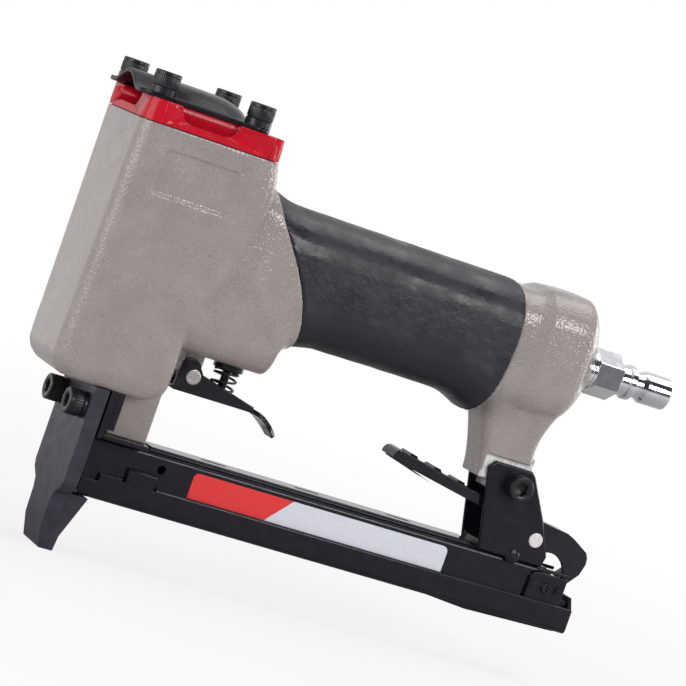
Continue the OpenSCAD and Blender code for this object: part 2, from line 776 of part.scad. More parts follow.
module grip_sleeve() {
    front = head_rear_x + 2;
    flare = [front, head_rear_x + 7, head_rear_x + 12, head_rear_x + 18, lip_low_x - 1, lip_low_x + 4];
    stations = concat(flare, [
        lip_low_x + 10, grip_end_x - 20, grip_end_x - 13, grip_end_x - 6, grip_end_x, grip_end_x + 2
    ]);
    color(rubber) difference() {
        intersection() {
            skin([for (x = stations) cross_ring(x, handle_low(x), handle_high(x), handle_width(x), grip_r)]);
            grip_zone(run_gap);
        }
        handle_core(run_gap);
    }
}

// Trigger valve

module valve_bush() {
    color(black) translate([stem_x, 0, 0]) difference() {
        union() {
            translate([0, 0, bush_low_z]) cylinder(r = bush_r, h = ceiling_z - bush_low_z);
            translate([0, 0, ceiling_z - 0.1]) cylinder(r = bush_body_r, h = 16);
        }
        translate([0, 0, bush_low_z - 1]) cylinder(r = stem_r + run_gap, h = 40);
        translate([0, 0, ceiling_z + 6]) cylinder(r = bush_body_r - 1.2, h = 20);
    }
}

module valve_stem() {
    low = web_top_z + gap + 0.05;
    seat = ceiling_z + 8.2;
    color(steel) translate([stem_x, 0, 0]) difference() {
        union() {
            translate([0, 0, low]) cylinder(r1 = stem_r - 0.4, r2 = stem_r, h = 0.4);
            translate([0, 0, low + 0.4]) cylinder(r = stem_r, h = seat - low);
            translate([0, 0, seat]) cylinder(r = bush_body_r - 1.6, h = 4);
        }
        translate([0, 0, seat + 1.2]) rotate_extrude() translate([stem_r, 0]) square([4, 1.5]);
    }
}

module valve_seal() {
    section = 0.6;
    color(seal) translate([stem_x, 0, ceiling_z + 10.15]) o_ring(stem_r + section + 0.05, section);
}

module trigger_spring() {
    low = web_top_z + 0.1;
    color(steel) translate([stem_x, 0, low])
        coil(bush_low_z - 0.1 - low, 3.9, 3, 0.4, "trigger_spring");
}

module trigger_pin() {
    color(steel) translate([trigger_pin_x, 0, trigger_pin_z]) rotate([90, 0, 0])
        cylinder(r = trigger_pin_r, h = trigger_w + 0.6, center = true);
}

module trigger() {
    p = [trigger_pin_x, trigger_pin_z];
    front_x = p.x - 5.4;
    heel_x = p.x + 21.4;
    cheek = [
        [front_x, trigger_low_z], [front_x + 0.6, p.y + 4], [front_x + 1.4, p.y + 5.3], [p.x - 0.8, p.y + 5.7],
        [p.x + 1, p.y + 4.6], [p.x + 2, p.y + 2.8], [p.x + 3, p.y + 1.5],
        [heel_x + 1.6, trigger_low_z + 1.9], [heel_x + 1.6, trigger_low_z + 0.4], [heel_x, trigger_low_z]
    ];
    tongue = curve([
        [heel_x - 1, web_top_z], [heel_x + 4.8, web_top_z], [heel_x + 8.6, trigger_low_z - 0.4],
        [heel_x + 13.4, trigger_low_z - 5.3]
    ], 8);
    // Plan of the finger tongue: narrower and rounded towards its tip
    half = trigger_w / 2;
    tongue_edge = concat([[heel_x - 2, half], [heel_x + 2, half]], curve([
        [heel_x + 8, half - 1.6], [heel_x + 12.8, half - 2.8], [heel_x + 13.8, half - 4], [heel_x + 13.8, 1]
    ], 5));
    tongue_plan = concat(
        tongue_edge, [for (i = [len(tongue_edge) - 1:-1:0]) [tongue_edge[i].x, -tongue_edge[i].y]]
    );
    color(black) difference() {
        union() {
            for (y = [-1, 1])
                translate([0, y * (trigger_w - trigger_t) / 2, 0]) across(trigger_t) polygon(cheek);
            translate([front_x, -trigger_w / 2, trigger_low_z])
                cube([heel_x - front_x, trigger_w, trigger_t]);
            intersection() {
                across(trigger_w) polygon(strip_points(tongue, trigger_t));
                linear_extrude(head_top_z) polygon(tongue_plan);
            }
        }
        translate([p.x, 0, p.y]) rotate([90, 0, 0])
            cylinder(r = trigger_pin_r + run_gap, h = 40, center = true);
    }
}

// Nose

module nose_plate() {
    half = plate_w / 2;
    tip = tip_w / 2;
    outline = [
        [half, plate_top_z], [half, shoulder_z], [half - 1.4, shoulder_z - 2.4],
        [tip + 2.3, shoulder_z - 4.9], [tip + 1, shoulder_z - 8], [tip, 0]
    ];
    wedge_top_z = channel_low_z - gap - 0.1;
    wedge = [
        [plate_back - 0.5, 0], [slot_back + 0.9, 0], [slot_back + 1.4, 5],
        [slot_back + 6.2, wedge_top_z - 1.4], [slot_back + 6.7, wedge_top_z], [plate_back - 0.5, wedge_top_z]
    ];
    color(black) difference() {
        union() {
            along(plate_front, plate_back)
                polygon(concat(outline, [for (i = [5:-1:0]) [-outline[i].x, outline[i].y]]));
            across(tip_w) polygon(wedge);
        }
        translate([plate_back, -slot_w / 2, -1]) cube([slot_t, slot_w, 60]);
        // Front face receding towards the tip
        across(2 * plate_w) polygon([
            [plate_front - 5, -1], [plate_front + 1.9, -1], [plate_front, 7.5], [plate_front - 5, 7.5]
        ]);
        translate([5, 0, 0]) at_nose_screws() cylinder(d = screw_d + 2 * gap, h = 20);
    }
}

module nose_back_sheet() {
    color(black) difference() {
        translate([slot_back, -plate_w / 2 + 1, rail_top_z + 0.2])
            cube([nose_sheet_t, plate_w - 2, plate_top_z - rail_top_z - 0.2]);
        translate([20, 0, 0]) at_nose_screws() cylinder(d = screw_d + 2 * gap, h = 40);
    }
}

module nose_block() {
    color(black) difference() {
        translate([foot_x, -nose_screw_span / 2 - 4, foot_top_z + 2])
            cube([nose_block_t, nose_screw_span + 8, plate_top_z - foot_top_z - 2]);
        translate([20, 0, 0]) at_nose_screws() cylinder(d = screw_d + 2 * run_gap, h = 40);
    }
}

// Bent sheet behind the nose whose foot lies on the rail and carries the post
module magazine_foot() {
    bend = 2.8;
    foot_w = 24;
    length = block_rear_x + post_len;
    corner = [back_sheet_x + bend, 0, rail_top_z + bend];
    color(black) difference() {
        union() {
            translate([back_sheet_x, -nose_screw_span / 2 - 4, rail_top_z + bend])
                cube([nose_sheet_t, nose_screw_span + 8, plate_top_z - rail_top_z - bend]);
            translate([corner.x, -foot_w / 2, rail_top_z])
                cube([length - corner.x, foot_w, nose_sheet_t]);
            // Rounded bend between the two
            intersection() {
                translate(corner) rotate([90, 0, 0]) difference() {
                    cylinder(r = bend, h = foot_w, center = true);
                    cylinder(r = bend - nose_sheet_t, h = 2 * foot_w, center = true);
                }
                translate([back_sheet_x, -foot_w, rail_top_z])
                    cube([bend + 0.01, 2 * foot_w, bend + 0.01]);
            }
        }
        translate([20, 0, 0]) at_nose_screws() cylinder(d = screw_d + 2 * gap, h = 40);
    }
}

module nose_screws() {
    color(black) translate([plate_front - washer_t, 0, 0]) at_nose_screws()
        socket_screw(block_rear_x - plate_front + washer_t - 0.2);
}

module nose_lock_washers() {
    color(black) translate([plate_front, 0, 0]) at_nose_screws() lock_washer(washer_t);
}

// Fixed rail of the magazine, with the bracket that hangs it from the leg

module fixed_rail() {
    height = rail_top_z - rail_low_z;
    strip_x0 = block_rear_x + post_len + 3;
    strip_x1 = bracket_x - 8;
    color(black) difference() {
        union() {
            along(rail_front_x, rail_end_x)
                translate([0, rail_top_z]) mirror([0, 1]) trough(rail_w, height, sheet_t, 1.8);
            translate([strip_x0, -rail_w / 2 + 1.6, rail_top_z - 0.1])
                cube([strip_x1 - strip_x0, rail_w - 3.2, strip_h + 0.1]);
        }
        // Slots along the strip
        for (x = [strip_x0 + 24:34:strip_x1 - 14])
            translate([x, 0, 0]) linear_extrude(rail_top_z + 5) round_rect(9, 2.4, 1.1);
        // Peep hole, the cut-away round the end block, and the opening for the latch hook
        translate([block_rear_x + post_len + 8.3, 0, rail_top_z - 4.9]) rotate([90, 0, 0])
            cylinder(r = 1.5, h = 40, center = true);
        across(40) translate([notch_x + 25, rail_top_z - 11.4]) round_rect(50, 20, 3);
        translate([rail_open_x, -rail_in, rail_low_z - 1]) cube([60, 2 * rail_in, 60]);
        // Way of the driver ahead of the rail's top
        translate([plate_front, -rail_in, 0]) cube([core_x - plate_front, 2 * rail_in, head_low_z]);
    }
}

module magazine_bracket() {
    base_z = rail_top_z + strip_h;
    top_z = bracket_screw_z + 6.2;
    plate = [
        [bracket_x - 12, top_z - 2.6], [bracket_x - 9.8, top_z], [bracket_x + 4, top_z],
        [bracket_x + 5.8, top_z - 1.4], [latch_x + 0.4, latch_pin_z + 7.2], [latch_x + 6.2, base_z + 2.4],
        [latch_x + 5.4, rail_top_z], [bracket_x - 5.4, rail_top_z]
    ];
    color(black) difference() {
        union() {
            for (y = [-1, 1])
                translate([0, y * (bracket_in + bracket_t / 2), 0]) across(bracket_t) polygon(plate);
            translate([bracket_x - 5, -bracket_in - 0.2, rail_top_z])
                cube([latch_x - bracket_x + 10.6, 2 * bracket_in + 0.4, base_top_z - rail_top_z]);
        }
        translate([bracket_x, 0, bracket_screw_z]) rotate([90, 0, 0])
            cylinder(d = screw_d + 2 * gap, h = 60, center = true);
        translate([latch_x, 0, latch_pin_z]) rotate([90, 0, 0])
            cylinder(r = latch_pin_r + run_gap, h = 60, center = true);
    }
}

module bracket_screw() {
    color(black) translate([bracket_x, -bracket_out, bracket_screw_z]) rotate([90, 0, 0])
        socket_screw(2 * bracket_out + 5.4);
}

module bracket_nut() {
    nut_h = 4;
    color(black) translate([bracket_x, bracket_out, bracket_screw_z]) rotate([-90, 0, 0]) difference() {
        cylinder(d = 8 / cos(30), h = nut_h, $fn = 6);
        translate([0, 0, -1]) cylinder(d = screw_d + 2 * run_gap, h = 20);
    }
}

// Round-headed studs at the foot of the bracket's plates, seated on the rail's sides
module rail_studs() {
    r = 2.6;
    dome = 0.9;
    rise = bracket_out - rail_w / 2;
    z = rail_top_z + 0.9;
    color(black) for (y = [-1, 1]) difference() {
        translate([latch_x - 6.1, y * rail_w / 2, z]) rotate([-y * 90, 0, 0])
            rotate_extrude() polygon(concat(
                [[0, 0], [r, 0]], [for (a = [0:15:90]) [r * cos(a), rise + dome * sin(a)]]
            ));
        translate([latch_x - 20, -bracket_out, rail_top_z]) cube([40, 2 * bracket_out, 20]);
    }
}

module latch_pin() {
    color(steel) translate([latch_x, 0, latch_pin_z]) rotate([90, 0, 0])
        cylinder(r = latch_pin_r, h = 2 * bracket_out + 1, center = true);
}

// Latch lever: a pressed channel with a thumb tip, three rungs and a hook over the rail's end

hook_back = [for (p = [
    [2.4, 6.2], [8, 5.4], [12.4, 4.9], [15.4, 3.7], [21.4, 0.4], [22.3, -1.4], [22.5, -3.5], [21.4, -7.4]
]) p + [latch_x, latch_pin_z]];
hook_tip = [latch_x + 18, hook_low_z];
lever_top = concat(
    [for (p = [[-58, 12.5], [-57.6, 14], [-56.6, 15.1], [-55.2, 15.4], [-53.4, 14.9], [-28, 9.9], [-8, 6.9]])
        p + [latch_x, latch_pin_z]],
    hook_back
);

module latch_lever() {
    p = [latch_x, latch_pin_z];
    boss = [for (a = [310:-20:190]) p + 4.6 * [cos(a), sin(a)]];
    mouth = curve([
        [latch_x + 15.4, hook_low_z + 0.6], [latch_x + 15.6, latch_pin_z - 4.6],
        [latch_x + 10, latch_pin_z - 1.6], [latch_x + 6, latch_pin_z - 3.6]
    ], 8);
    under = [
        [latch_x - 8.6, latch_pin_z + 2.2], [latch_x - 22, latch_pin_z + 5.2],
        [latch_x - 52.6, latch_pin_z + 10.8], [latch_x - 55.8, latch_pin_z + 11.8]
    ];
    cheek_t = 1.3;
    run = lever_top[5] - lever_top[4];
    // The hook is cut from the left cheek; the right cheek ends at the pin
    left = concat(lever_top, [hook_tip], mouth, boss, under);
    right = concat([for (q = lever_top) if (q.x < latch_x + 9) q], boss, under);
    color(black) difference() {
        union() {
            translate([0, -(latch_w - cheek_t) / 2, 0]) across(cheek_t) polygon(left);
            translate([0, (latch_w - cheek_t) / 2, 0]) across(cheek_t) polygon(right);
            across(latch_w) polygon(strip_points(concat(lever_top, [hook_tip]), cheek_t));
            for (u = [0.12, 0.5, 0.88])
                translate([lever_top[4].x + u * run.x, 0, lever_top[4].y + u * run.y])
                    rotate([0, -atan2(run.y, run.x), 0]) translate([-1.4, -latch_w / 2 + 1, -0.5])
                        cube([2.8, latch_w - 2, 1.25]);
        }
        translate([p.x, 0, p.y]) rotate([90, 0, 0])
            cylinder(r = latch_pin_r + run_gap, h = 60, center = true);
    }
}

// Wire spring round the latch pin: one arm under the lever, one on the bracket's base
module latch_spring() {
    wire_r = 0.4;
    r = latch_pin_r + gap + wire_r;
    start = 90;
    turns = 2 + (255 - start) / 360;
    pitch = 1.9;
    steps = round(turns * 8);
    wind = [for (i = [0:steps]) let (a = start + 360 * turns * i / steps)
        [r * cos(a), pitch * turns * (i / steps - 0.5), r * sin(a)]];
    a0 = start;
    a1 = start + 360 * turns;
    arm0 = [for (s = [8.4, 7.4, 4]) wind[0] + s * [sin(a0), 0, -cos(a0)]];
    arm1 = [for (s = [2.5, 5.5, 6.3]) wind[steps] + s * [-sin(a1), 0, cos(a1)]];
    path = concat(arm0, wind, arm1);
    echo(str("latch_spring least gap to itself, mm: ", self_gap(path, wire_r)));
    color(steel) translate([latch_x, 0, latch_pin_z])
        skin(wire_rings(path, [for (p = path) [0, 1, 0]], wire_r));
}

// Sliding magazine: channel, staple core, end block, pusher rod and pusher

module magazine_channel() {
    front = plate_back + 3;
    low = channel_low_z;
    bulge = [
        [latch_x - 34, low + 0.3], [latch_x - 16, low - channel_bulge], [latch_x + 17.5, low - 0.2],
        [channel_end_x - 1, low + 0.3]
    ];
    tab_x = block_rear_x + post_len - 2.6;
    end_h = 12.2;
    color(black) difference() {
        union() {
            along(front, channel_end_x) translate([0, low]) trough(channel_w, channel_h, sheet_t, 1.8);
            across(channel_w - 3) polygon(bulge);
            // Bent tabs that steady the channel on the rail
            for (y = [-1, 1])
                translate([tab_x, y * (channel_w - sheet_t) / 2, low + channel_h - 0.6])
                    rotate([-4 * y, 0, 0]) translate([0, -sheet_t / 2 + y * 0.05, 0])
                        cube([10, sheet_t, 4.6]);
            // End wall, narrower at its top
            along(channel_end_x - sheet_t, channel_end_x) polygon([
                [-channel_in - 0.2, low + 0.4], [channel_in + 0.2, low + 0.4],
                [channel_in + 0.2, low + channel_h], [channel_in - 2, low + end_h],
                [-channel_in + 2, low + end_h], [-channel_in - 0.2, low + channel_h]
            ]);
        }
        // Lower wall ahead of the front step, and a relief slit beside each tab
        translate([front - 1, -20, low + channel_h - 2.6]) cube([6.6, 40, 10]);
        for (x = [-1, 10.2])
            translate([tab_x + x, -20, low + channel_h - 1]) cube([0.8, 40, 10]);
    }
}

module staple_core() {
    height = core_top_z - channel_floor_z;
    color(steel) difference() {
        along(core_x, end_block_x - 0.2)
            translate([0, core_top_z]) mirror([0, 1]) trough(core_w, height, core_wall, 1.4);
        translate([core_x + 4, -core_slot_w / 2, core_top_z - 5])
            cube([end_block_x - core_x - 10, core_slot_w, 20]);
    }
}

module end_block() {
    top_z = hook_low_z - gap - 0.2;
    cheek_x = end_block_x + 0.7;
    cheek_len = channel_end_x - 4.4 - cheek_x;
    cheek_top_z = rail_top_z - 1.75;
    color(black) difference() {
        union() {
            translate([end_block_x, -rail_in + gap, channel_floor_z])
                cube([channel_end_x - sheet_t - end_block_x, 2 * (rail_in - gap), top_z - channel_floor_z]);
            // Cheeks seen through the rail's cut-away; their upper edges pass beside the hook
            for (y = [-1, 1]) {
                translate([cheek_x, y * (end_face - 0.8) - 0.8, channel_floor_z + 2.4])
                    cube([cheek_len, 1.6, top_z - channel_floor_z - 2.4]);
                translate([0, y * (end_face - 0.6), 0]) across(1.2) polygon([
                    [cheek_x, top_z - 1], [cheek_x + cheek_len, top_z - 1], [cheek_x + cheek_len, cheek_top_z],
                    [cheek_x + 2, cheek_top_z], [cheek_x + 0.6, cheek_top_z - 0.6], [cheek_x, cheek_top_z - 2]
                ]);
            }
        }
        translate([end_block_x - 1, 0, rod_z]) rotate([0, 90, 0]) cylinder(r = rod_r + run_gap, h = 9);
        translate([cheek_x + cheek_len, -rail_w, channel_low_z + 10.6]) cube([20, 2 * rail_w, 20]);
        at_end_screws() translate([0, 0, -5]) cylinder(r = 1.5 + run_gap, h = 8);
        at_end_rivets() translate([0, 0, -3]) cylinder(r = 0.7 + run_gap, h = 8);
    }
}

module at_end_screws() {
    for (y = [-1, 1])
        translate([end_block_x + 7.4, y * end_face, core_top_z]) rotate([-y * 90, 0, 0]) children();
}

module at_end_rivets() {
    for (y = [-1, 1], x = [2, 12])
        translate([end_block_x + x, y * end_face, core_top_z + 0.4]) rotate([-y * 90, 0, 0]) children();
}

module end_screws() {
    head = 0.9;
    color(black) at_end_screws() difference() {
        union() {
            cylinder(r1 = 2.1, r2 = 1.7, h = head);
            translate([0, 0, -4]) cylinder(r = 1.5, h = 4.1);
        }
        for (a = [0, 90]) rotate([0, 0, a]) translate([-1.3, -0.3, head - 0.6]) cube([2.6, 0.6, 2]);
    }
}

module end_rivets() {
    color(black) at_end_rivets() union() {
        cylinder(r = 1, h = 0.4);
        translate([0, 0, -2.5]) cylinder(r = 0.7, h = 2.6);
    }
}

module pusher_rod() {
    color(steel) translate([core_x + 0.4, 0, rod_z]) rotate([0, 90, 0])
        cylinder(r = rod_r, h = end_block_x + 7 - core_x);
}

module pusher() {
    out_w = core_w + 2 * (0.15 + pusher_t);
    top_z = core_top_z + 0.15 + pusher_t;
    leg_h = 8;
    stem_w = core_slot_w - 2 * gap;
    carrier_r = core_w / 2 - core_wall - 0.4;
    color(steel) difference() {
        union() {
            along(pusher_rest_x, pusher_rest_x + pusher_len)
                translate([0, top_z]) mirror([0, 1]) trough(out_w, leg_h, pusher_t, 1.5);
            translate([pusher_rest_x + 4.5, -stem_w / 2, rod_z])
                cube([pusher_len - 6, stem_w, top_z - 0.2 - rod_z]);
            translate([pusher_rest_x + 4.5, 0, rod_z]) rotate([0, 90, 0])
                cylinder(r = carrier_r, h = pusher_len - 6);
        }
        translate([0, 0, rod_z]) rotate([0, 90, 0]) cylinder(r = rod_r + run_gap, h = 300);
    }
}

module pusher_spring() {
    x0 = pusher_rest_x + pusher_len - 1.4;
    color(steel) translate([x0, 0, rod_z]) rotate([0, 90, 0])
        coil(end_block_x - 0.1 - x0, rod_r + 1.1, 26, 0.4, "pusher_spring");
}

// Air plug: hexagon, neck, locking groove and nose, screwed into the rear boss

module air_plug() {
    hex_x = rear_x + 1.1;
    color(chrome) translate([hex_x, 0, handle_z]) rotate([0, 90, 0]) difference() {
        union() {
            translate([0, 0, -12]) cylinder(r = plug_thread_r, h = 12.1);
            cylinder(d = plug_af / cos(30), h = 9.4, $fn = 6);
            rotate_extrude() polygon([
                [0, 9], [plug_r + 0.6, 9], [plug_r + 0.6, 10.2], [plug_r - 0.3, 10.8], [plug_r - 0.3, 13.6],
                [plug_r + 0.4, 14], [plug_r + 0.4, 16], [plug_r - 1, 17], [plug_r - 1, 19],
                [plug_r, 21], [plug_r, 29.6], [plug_r - 0.8, 30.4], [0, 30.4]
            ]);
        }
        translate([0, 0, -20]) cylinder(r = plug_bore_r, h = 80);
    }
}

module plug_washer() {
    height = rear_x + 1.1 - boss_face_x;
    inner = plug_thread_r + run_gap;
    r = plug_af / 2;
    color(chrome) translate([boss_face_x, 0, handle_z]) rotate([0, 90, 0]) rotate_extrude() polygon([
        [inner, 0], [r + 0.5, 0], [r + 0.5, 1.1], [r - 0.1, 1.4],
        [r + 0.2, 1.7], [r + 0.2, height], [inner, height]
    ]);
}

gun_body();
cap_gasket();
cylinder_cap();
exhaust_deflector();
cap_screws();
cap_lock_washers();
cylinder_sleeve();
cylinder_seal();
piston_bumper();
grip_sleeve();
valve_bush();
trigger_pin();
nose_plate();
nose_back_sheet();
nose_block();
nose_screws();
nose_lock_washers();
magazine_foot();
fixed_rail();
magazine_bracket();
bracket_screw();
bracket_nut();
rail_studs();
latch_pin();
latch_spring();
air_plug();
plug_washer();
trigger();
valve_stem();
valve_seal();
trigger_spring();
piston();
piston_ring();
driver_blade();
driver_pin();
head_valve();
head_valve_seal();
head_valve_spring();
latch_lever();
magazine_channel();
staple_core();
end_block();
end_screws();
end_rivets();
pusher_rod();
pusher();
pusher_spring();
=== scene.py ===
"""Dressed model of a pneumatic upholstery stapler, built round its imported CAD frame.

Every length is in metres in the frame of the CAD part: the nose tip stands on z = 0, the driver
points down and the handle points to +X. Each sub-assembly is a class that builds its pieces,
dresses them and hangs them on the CAD body that carries them.
"""

from __future__ import annotations

import logging
import math
from dataclasses import dataclass, field
from enum import Enum
from functools import cache
from typing import Callable, Sequence

import bmesh
import bpy
import numpy as np
from mathutils import Matrix, Vector

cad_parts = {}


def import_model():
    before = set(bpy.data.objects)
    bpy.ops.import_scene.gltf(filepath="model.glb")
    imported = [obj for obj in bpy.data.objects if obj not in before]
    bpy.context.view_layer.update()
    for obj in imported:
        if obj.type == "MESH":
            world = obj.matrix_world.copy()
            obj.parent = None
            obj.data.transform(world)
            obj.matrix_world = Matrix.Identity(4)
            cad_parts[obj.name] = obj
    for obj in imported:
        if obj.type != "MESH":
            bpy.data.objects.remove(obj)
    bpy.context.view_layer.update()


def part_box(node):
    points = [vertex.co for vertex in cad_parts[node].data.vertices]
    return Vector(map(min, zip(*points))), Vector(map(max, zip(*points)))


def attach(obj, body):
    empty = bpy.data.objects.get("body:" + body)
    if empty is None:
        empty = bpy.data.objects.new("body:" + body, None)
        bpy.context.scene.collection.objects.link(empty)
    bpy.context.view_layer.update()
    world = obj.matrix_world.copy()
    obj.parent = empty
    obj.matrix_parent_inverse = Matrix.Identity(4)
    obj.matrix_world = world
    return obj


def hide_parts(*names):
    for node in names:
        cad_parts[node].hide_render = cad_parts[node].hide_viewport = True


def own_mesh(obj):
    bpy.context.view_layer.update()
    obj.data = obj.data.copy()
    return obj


LOG = logging.getLogger("stapler")
MM = 0.001

Colour = tuple[float, float, float]
Point = tuple[float, float, float]
Span = tuple[float, float]
Socket = bpy.types.NodeSocket
Wires = dict[str | int, object]

WHITE = (1.0, 1.0, 1.0, 1.0)
EVEN = (1.0, 1.0, 1.0)
WELD = 0.002 * MM
COLLAPSED = 0.0001 * MM
WIRE_CREASE = math.radians(50)


class Body(str, Enum):
    """Bodies of the CAD frame that carry pieces."""

    ROOT = "root"
    TRIGGER = "trigger"
    LATCH = "latch"
    MAGAZINE = "magazine"
    PUSHER = "pusher"


class Slot(str, Enum):
    """Material slots of the part's record."""

    BODY_PAINT = "body_paint"
    RED_PAINT = "red_paint"
    BLACK_STEEL = "black_steel"
    GRIP_RUBBER = "grip_rubber"
    BLACK_RUBBER = "black_rubber"
    BARE_STEEL = "bare_steel"
    CHROME = "chrome_plate"


def linear(*parts: int) -> Colour:
    """Turns the red, green and blue of a screen, 0 to 255, into linear light, 0 to 1."""
    shares = [part / 255 for part in parts]
    return tuple(v / 12.92 if v <= 0.04045 else ((v + 0.055) / 1.055) ** 2.4 for v in shares)


# Finishes


class ShaderTree:
    """Node tree of a material or the world, with short calls for the nodes used here."""

    def __init__(self, owner: bpy.types.Material | bpy.types.World) -> None:
        """Starts on the owner's own nodes.

        Args:
            owner: Material or world that the tree belongs to.
        """
        owner.use_nodes = True
        self.tree = owner.node_tree
        self.coordinates = self.add("TexCoord").outputs
        self.place = self.coordinates["Object"]

    def wire(self, node: bpy.types.Node, wires: Wires) -> None:
        """Sets or links inputs of a node.

        Args:
            node: The node.
            wires: Value or socket for each input, by name or number.
        """
        for key, value in wires.items():
            if isinstance(value, Socket):
                self.tree.links.new(value, node.inputs[key])
            else:
                node.inputs[key].default_value = value

    def add(self, kind: str, wires: Wires | None = None, **settings: str) -> bpy.types.Node:
        """Adds a node.

        Args:
            kind: Its kind, without the prefix that all shader nodes have.
            wires: Value or socket for each input, by name or number.
            settings: Other settings, such as its operation.

        Returns:
            The node.
        """
        node = self.tree.nodes.new("ShaderNode" + kind)
        for name, value in settings.items():
            setattr(node, name, value)
        self.wire(node, wires or {})
        return node

    def coat(self, wires: Wires) -> None:
        """Sets or links inputs of the material's own shader."""
        self.wire(self.tree.nodes["Principled BSDF"], wires)

    def stretched(self, scale: Point) -> Socket:
        """Object coordinates stretched by a factor along X, Y and Z."""
        return self.add("Mapping", {"Vector": self.place, "Scale": scale}).outputs["Vector"]

    def noise(self, scale: float, detail: float = 2.0, vector: Socket | None = None) -> Socket:
        """Cloudy noise of so many cells per metre and so many octaves."""
        wires = {"Vector": vector or self.place, "Scale": scale, "Detail": detail}
        return self.add("TexNoise", wires).outputs["Fac"]

    def cells(self, size: float) -> Socket:
        """Smooth cells of a size, as paint draws itself into when it dries."""
        wires = {"Vector": self.place, "Scale": 1.0 / size, "Smoothness": 0.6}
        return self.add("TexVoronoi", wires, feature="SMOOTH_F1").outputs["Distance"]

    def ramp(self, value: Socket, stops: Sequence[tuple[float, Colour]]) -> Socket:
        """Colour looked up by a value.

        Args:
            value: Value socket.
            stops: Places and colours, in order.

        Returns:
            The colour socket.
        """
        node = self.add("ValToRGB", {"Fac": value})
        bar = node.color_ramp.elements
        while len(bar) < len(stops):
            bar.new(1.0)
        for stop, (place, colour) in zip(bar, stops):
            stop.position = place
            stop.color = (*colour, 1.0)
        return node.outputs["Color"]

    def fit(self, value: Socket, span: Span, to: Span) -> Socket:
        """Value fitted from one span to another."""
        limits = zip(("From Min", "From Max", "To Min", "To Max"), (*span, *to))
        return self.add("MapRange", {"Value": value, **dict(limits)}).outputs["Result"]

    def multiply(self, first: Socket, second: Socket) -> Socket:
        """One varying colour darkened by another."""
        wires = {"Factor": 1.0, "A": first, "B": second}
        return self.add("Mix", wires, data_type="RGBA", blend_type="MULTIPLY").outputs["Result"]

    def bump(self, height: Socket, depth: float, under: Socket | None = None) -> Socket:
        """Normal roughened by a height of so many metres in all, over another normal if given."""
        wires = {"Height": height, "Distance": depth, "Strength": 1.0}
        return self.add("Bump", wires | ({"Normal": under} if under else {})).outputs["Normal"]

    def calc(self, operation: str, first: Socket, second: Socket) -> Socket:
        """Two values brought together by an operation."""
        return self.add("Math", {0: first, 1: second}, operation=operation).outputs[0]

    def blend(self, share: Socket, first: Socket, second: Socket) -> Socket:
        """One shader turning into another by a share."""
        return self.add("MixShader", {0: share, 1: first, 2: second}).outputs[0]


@dataclass(frozen=True)
class Finish:
    """A surface finish: the record's slot it stands for, its colour, and how it drifts over a piece.

    Each noise is cells per metre and octaves. The tones are places on their noise, with the factor
    that the colour has there.
    """

    name: str
    slot: Slot
    colour: Colour
    roughness: Span = (0.3, 0.4)
    gloss: float = 0.5
    metal: float = 0.0
    tones: tuple[Span, ...] = ((0.3, 0.95), (0.7, 1.03))
    tone_noise: Span = (700.0, 3.0)
    sheen_noise: Span = (240.0, 2.0)
    sheen_span: Span = (0.3, 0.7)
    skin_noise: Span = (900.0, 2.0)
    skin_depth: float = 0.006 * MM

    def material(self) -> bpy.types.Material:
        """The finish's material, made on first use.

        Returns:
            The material.
        """
        known = bpy.data.materials.get(self.name)
        if known is None:
            known = bpy.data.materials.new(self.name)
            tree = ShaderTree(known)
            sheen = self.drift(tree, self.sheen_noise)
            tree.coat(
                {
                    "Base Color": self.tone(tree),
                    "Roughness": tree.fit(sheen, self.sheen_span, self.roughness),
                    "Normal": self.skin(tree),
                    "Specular IOR Level": self.gloss,
                    "Metallic": self.metal,
                }
            )
        return known

    def drift(self, tree: ShaderTree, noise: Span) -> Socket:
        """Noise over the piece."""
        return tree.noise(*noise)

    def tone(self, tree: ShaderTree) -> Socket:
        """Colour that drifts between the tones."""
        stops = [(place, tuple(min(1.0, part * by) for part in self.colour)) for place, by in self.tones]
        return tree.ramp(self.drift(tree, self.tone_noise), stops)

    def skin(self, tree: ShaderTree) -> Socket:
        """Normal with a fine relief."""
        return tree.bump(self.drift(tree, self.skin_noise), self.skin_depth)


@dataclass(frozen=True)
class HammerEnamel(Finish):
    """Gloss enamel with a fine hammered skin and specks, as sprayed on castings."""

    roughness: Span = (0.09, 0.17)
    tones: tuple[Span, ...] = ((0.3, 0.93), (0.7, 1.06))
    tone_noise: Span = (120.0, 3.0)
    sheen_noise: Span = (420.0, 2.0)
    skin_noise: Span = (1.0 / (0.55 * MM), 2.0)
    skin_depth: float = 0.045 * MM
    cell: float = 0.8 * MM
    cell_depth: float = 0.11 * MM
    speck_noise: Span = (1.0 / (0.5 * MM), 3.0)
    specks: tuple[Span, ...] = ((0.30, 0.76), (0.46, 0.95), (0.6, 1.0), (0.74, 1.1))

    def tone(self, tree: ShaderTree) -> Socket:
        """Colour that drifts between the tones, with specks in it."""
        stops = [(place, (grey,) * 3) for place, grey in self.specks]
        return tree.multiply(super().tone(tree), tree.ramp(tree.noise(*self.speck_noise), stops))

    def skin(self, tree: ShaderTree) -> Socket:
        """Normal with the hammered cells and a grain on them."""
        hammered = tree.bump(tree.cells(self.cell), self.cell_depth)
        return tree.bump(tree.noise(*self.skin_noise), self.skin_depth, hammered)


@dataclass(frozen=True)
class GlossEnamel(Finish):
    """Smooth gloss enamel with a little orange peel."""

    roughness: Span = (0.14, 0.26)
    gloss: float = 0.26
    tones: tuple[Span, ...] = ((0.3, 0.88), (0.72, 1.08))
    tone_noise: Span = (160.0, 3.0)
    sheen_noise: Span = (300.0, 2.0)
    skin_noise: Span = (650.0, 1.0)
    skin_depth: float = 0.02 * MM


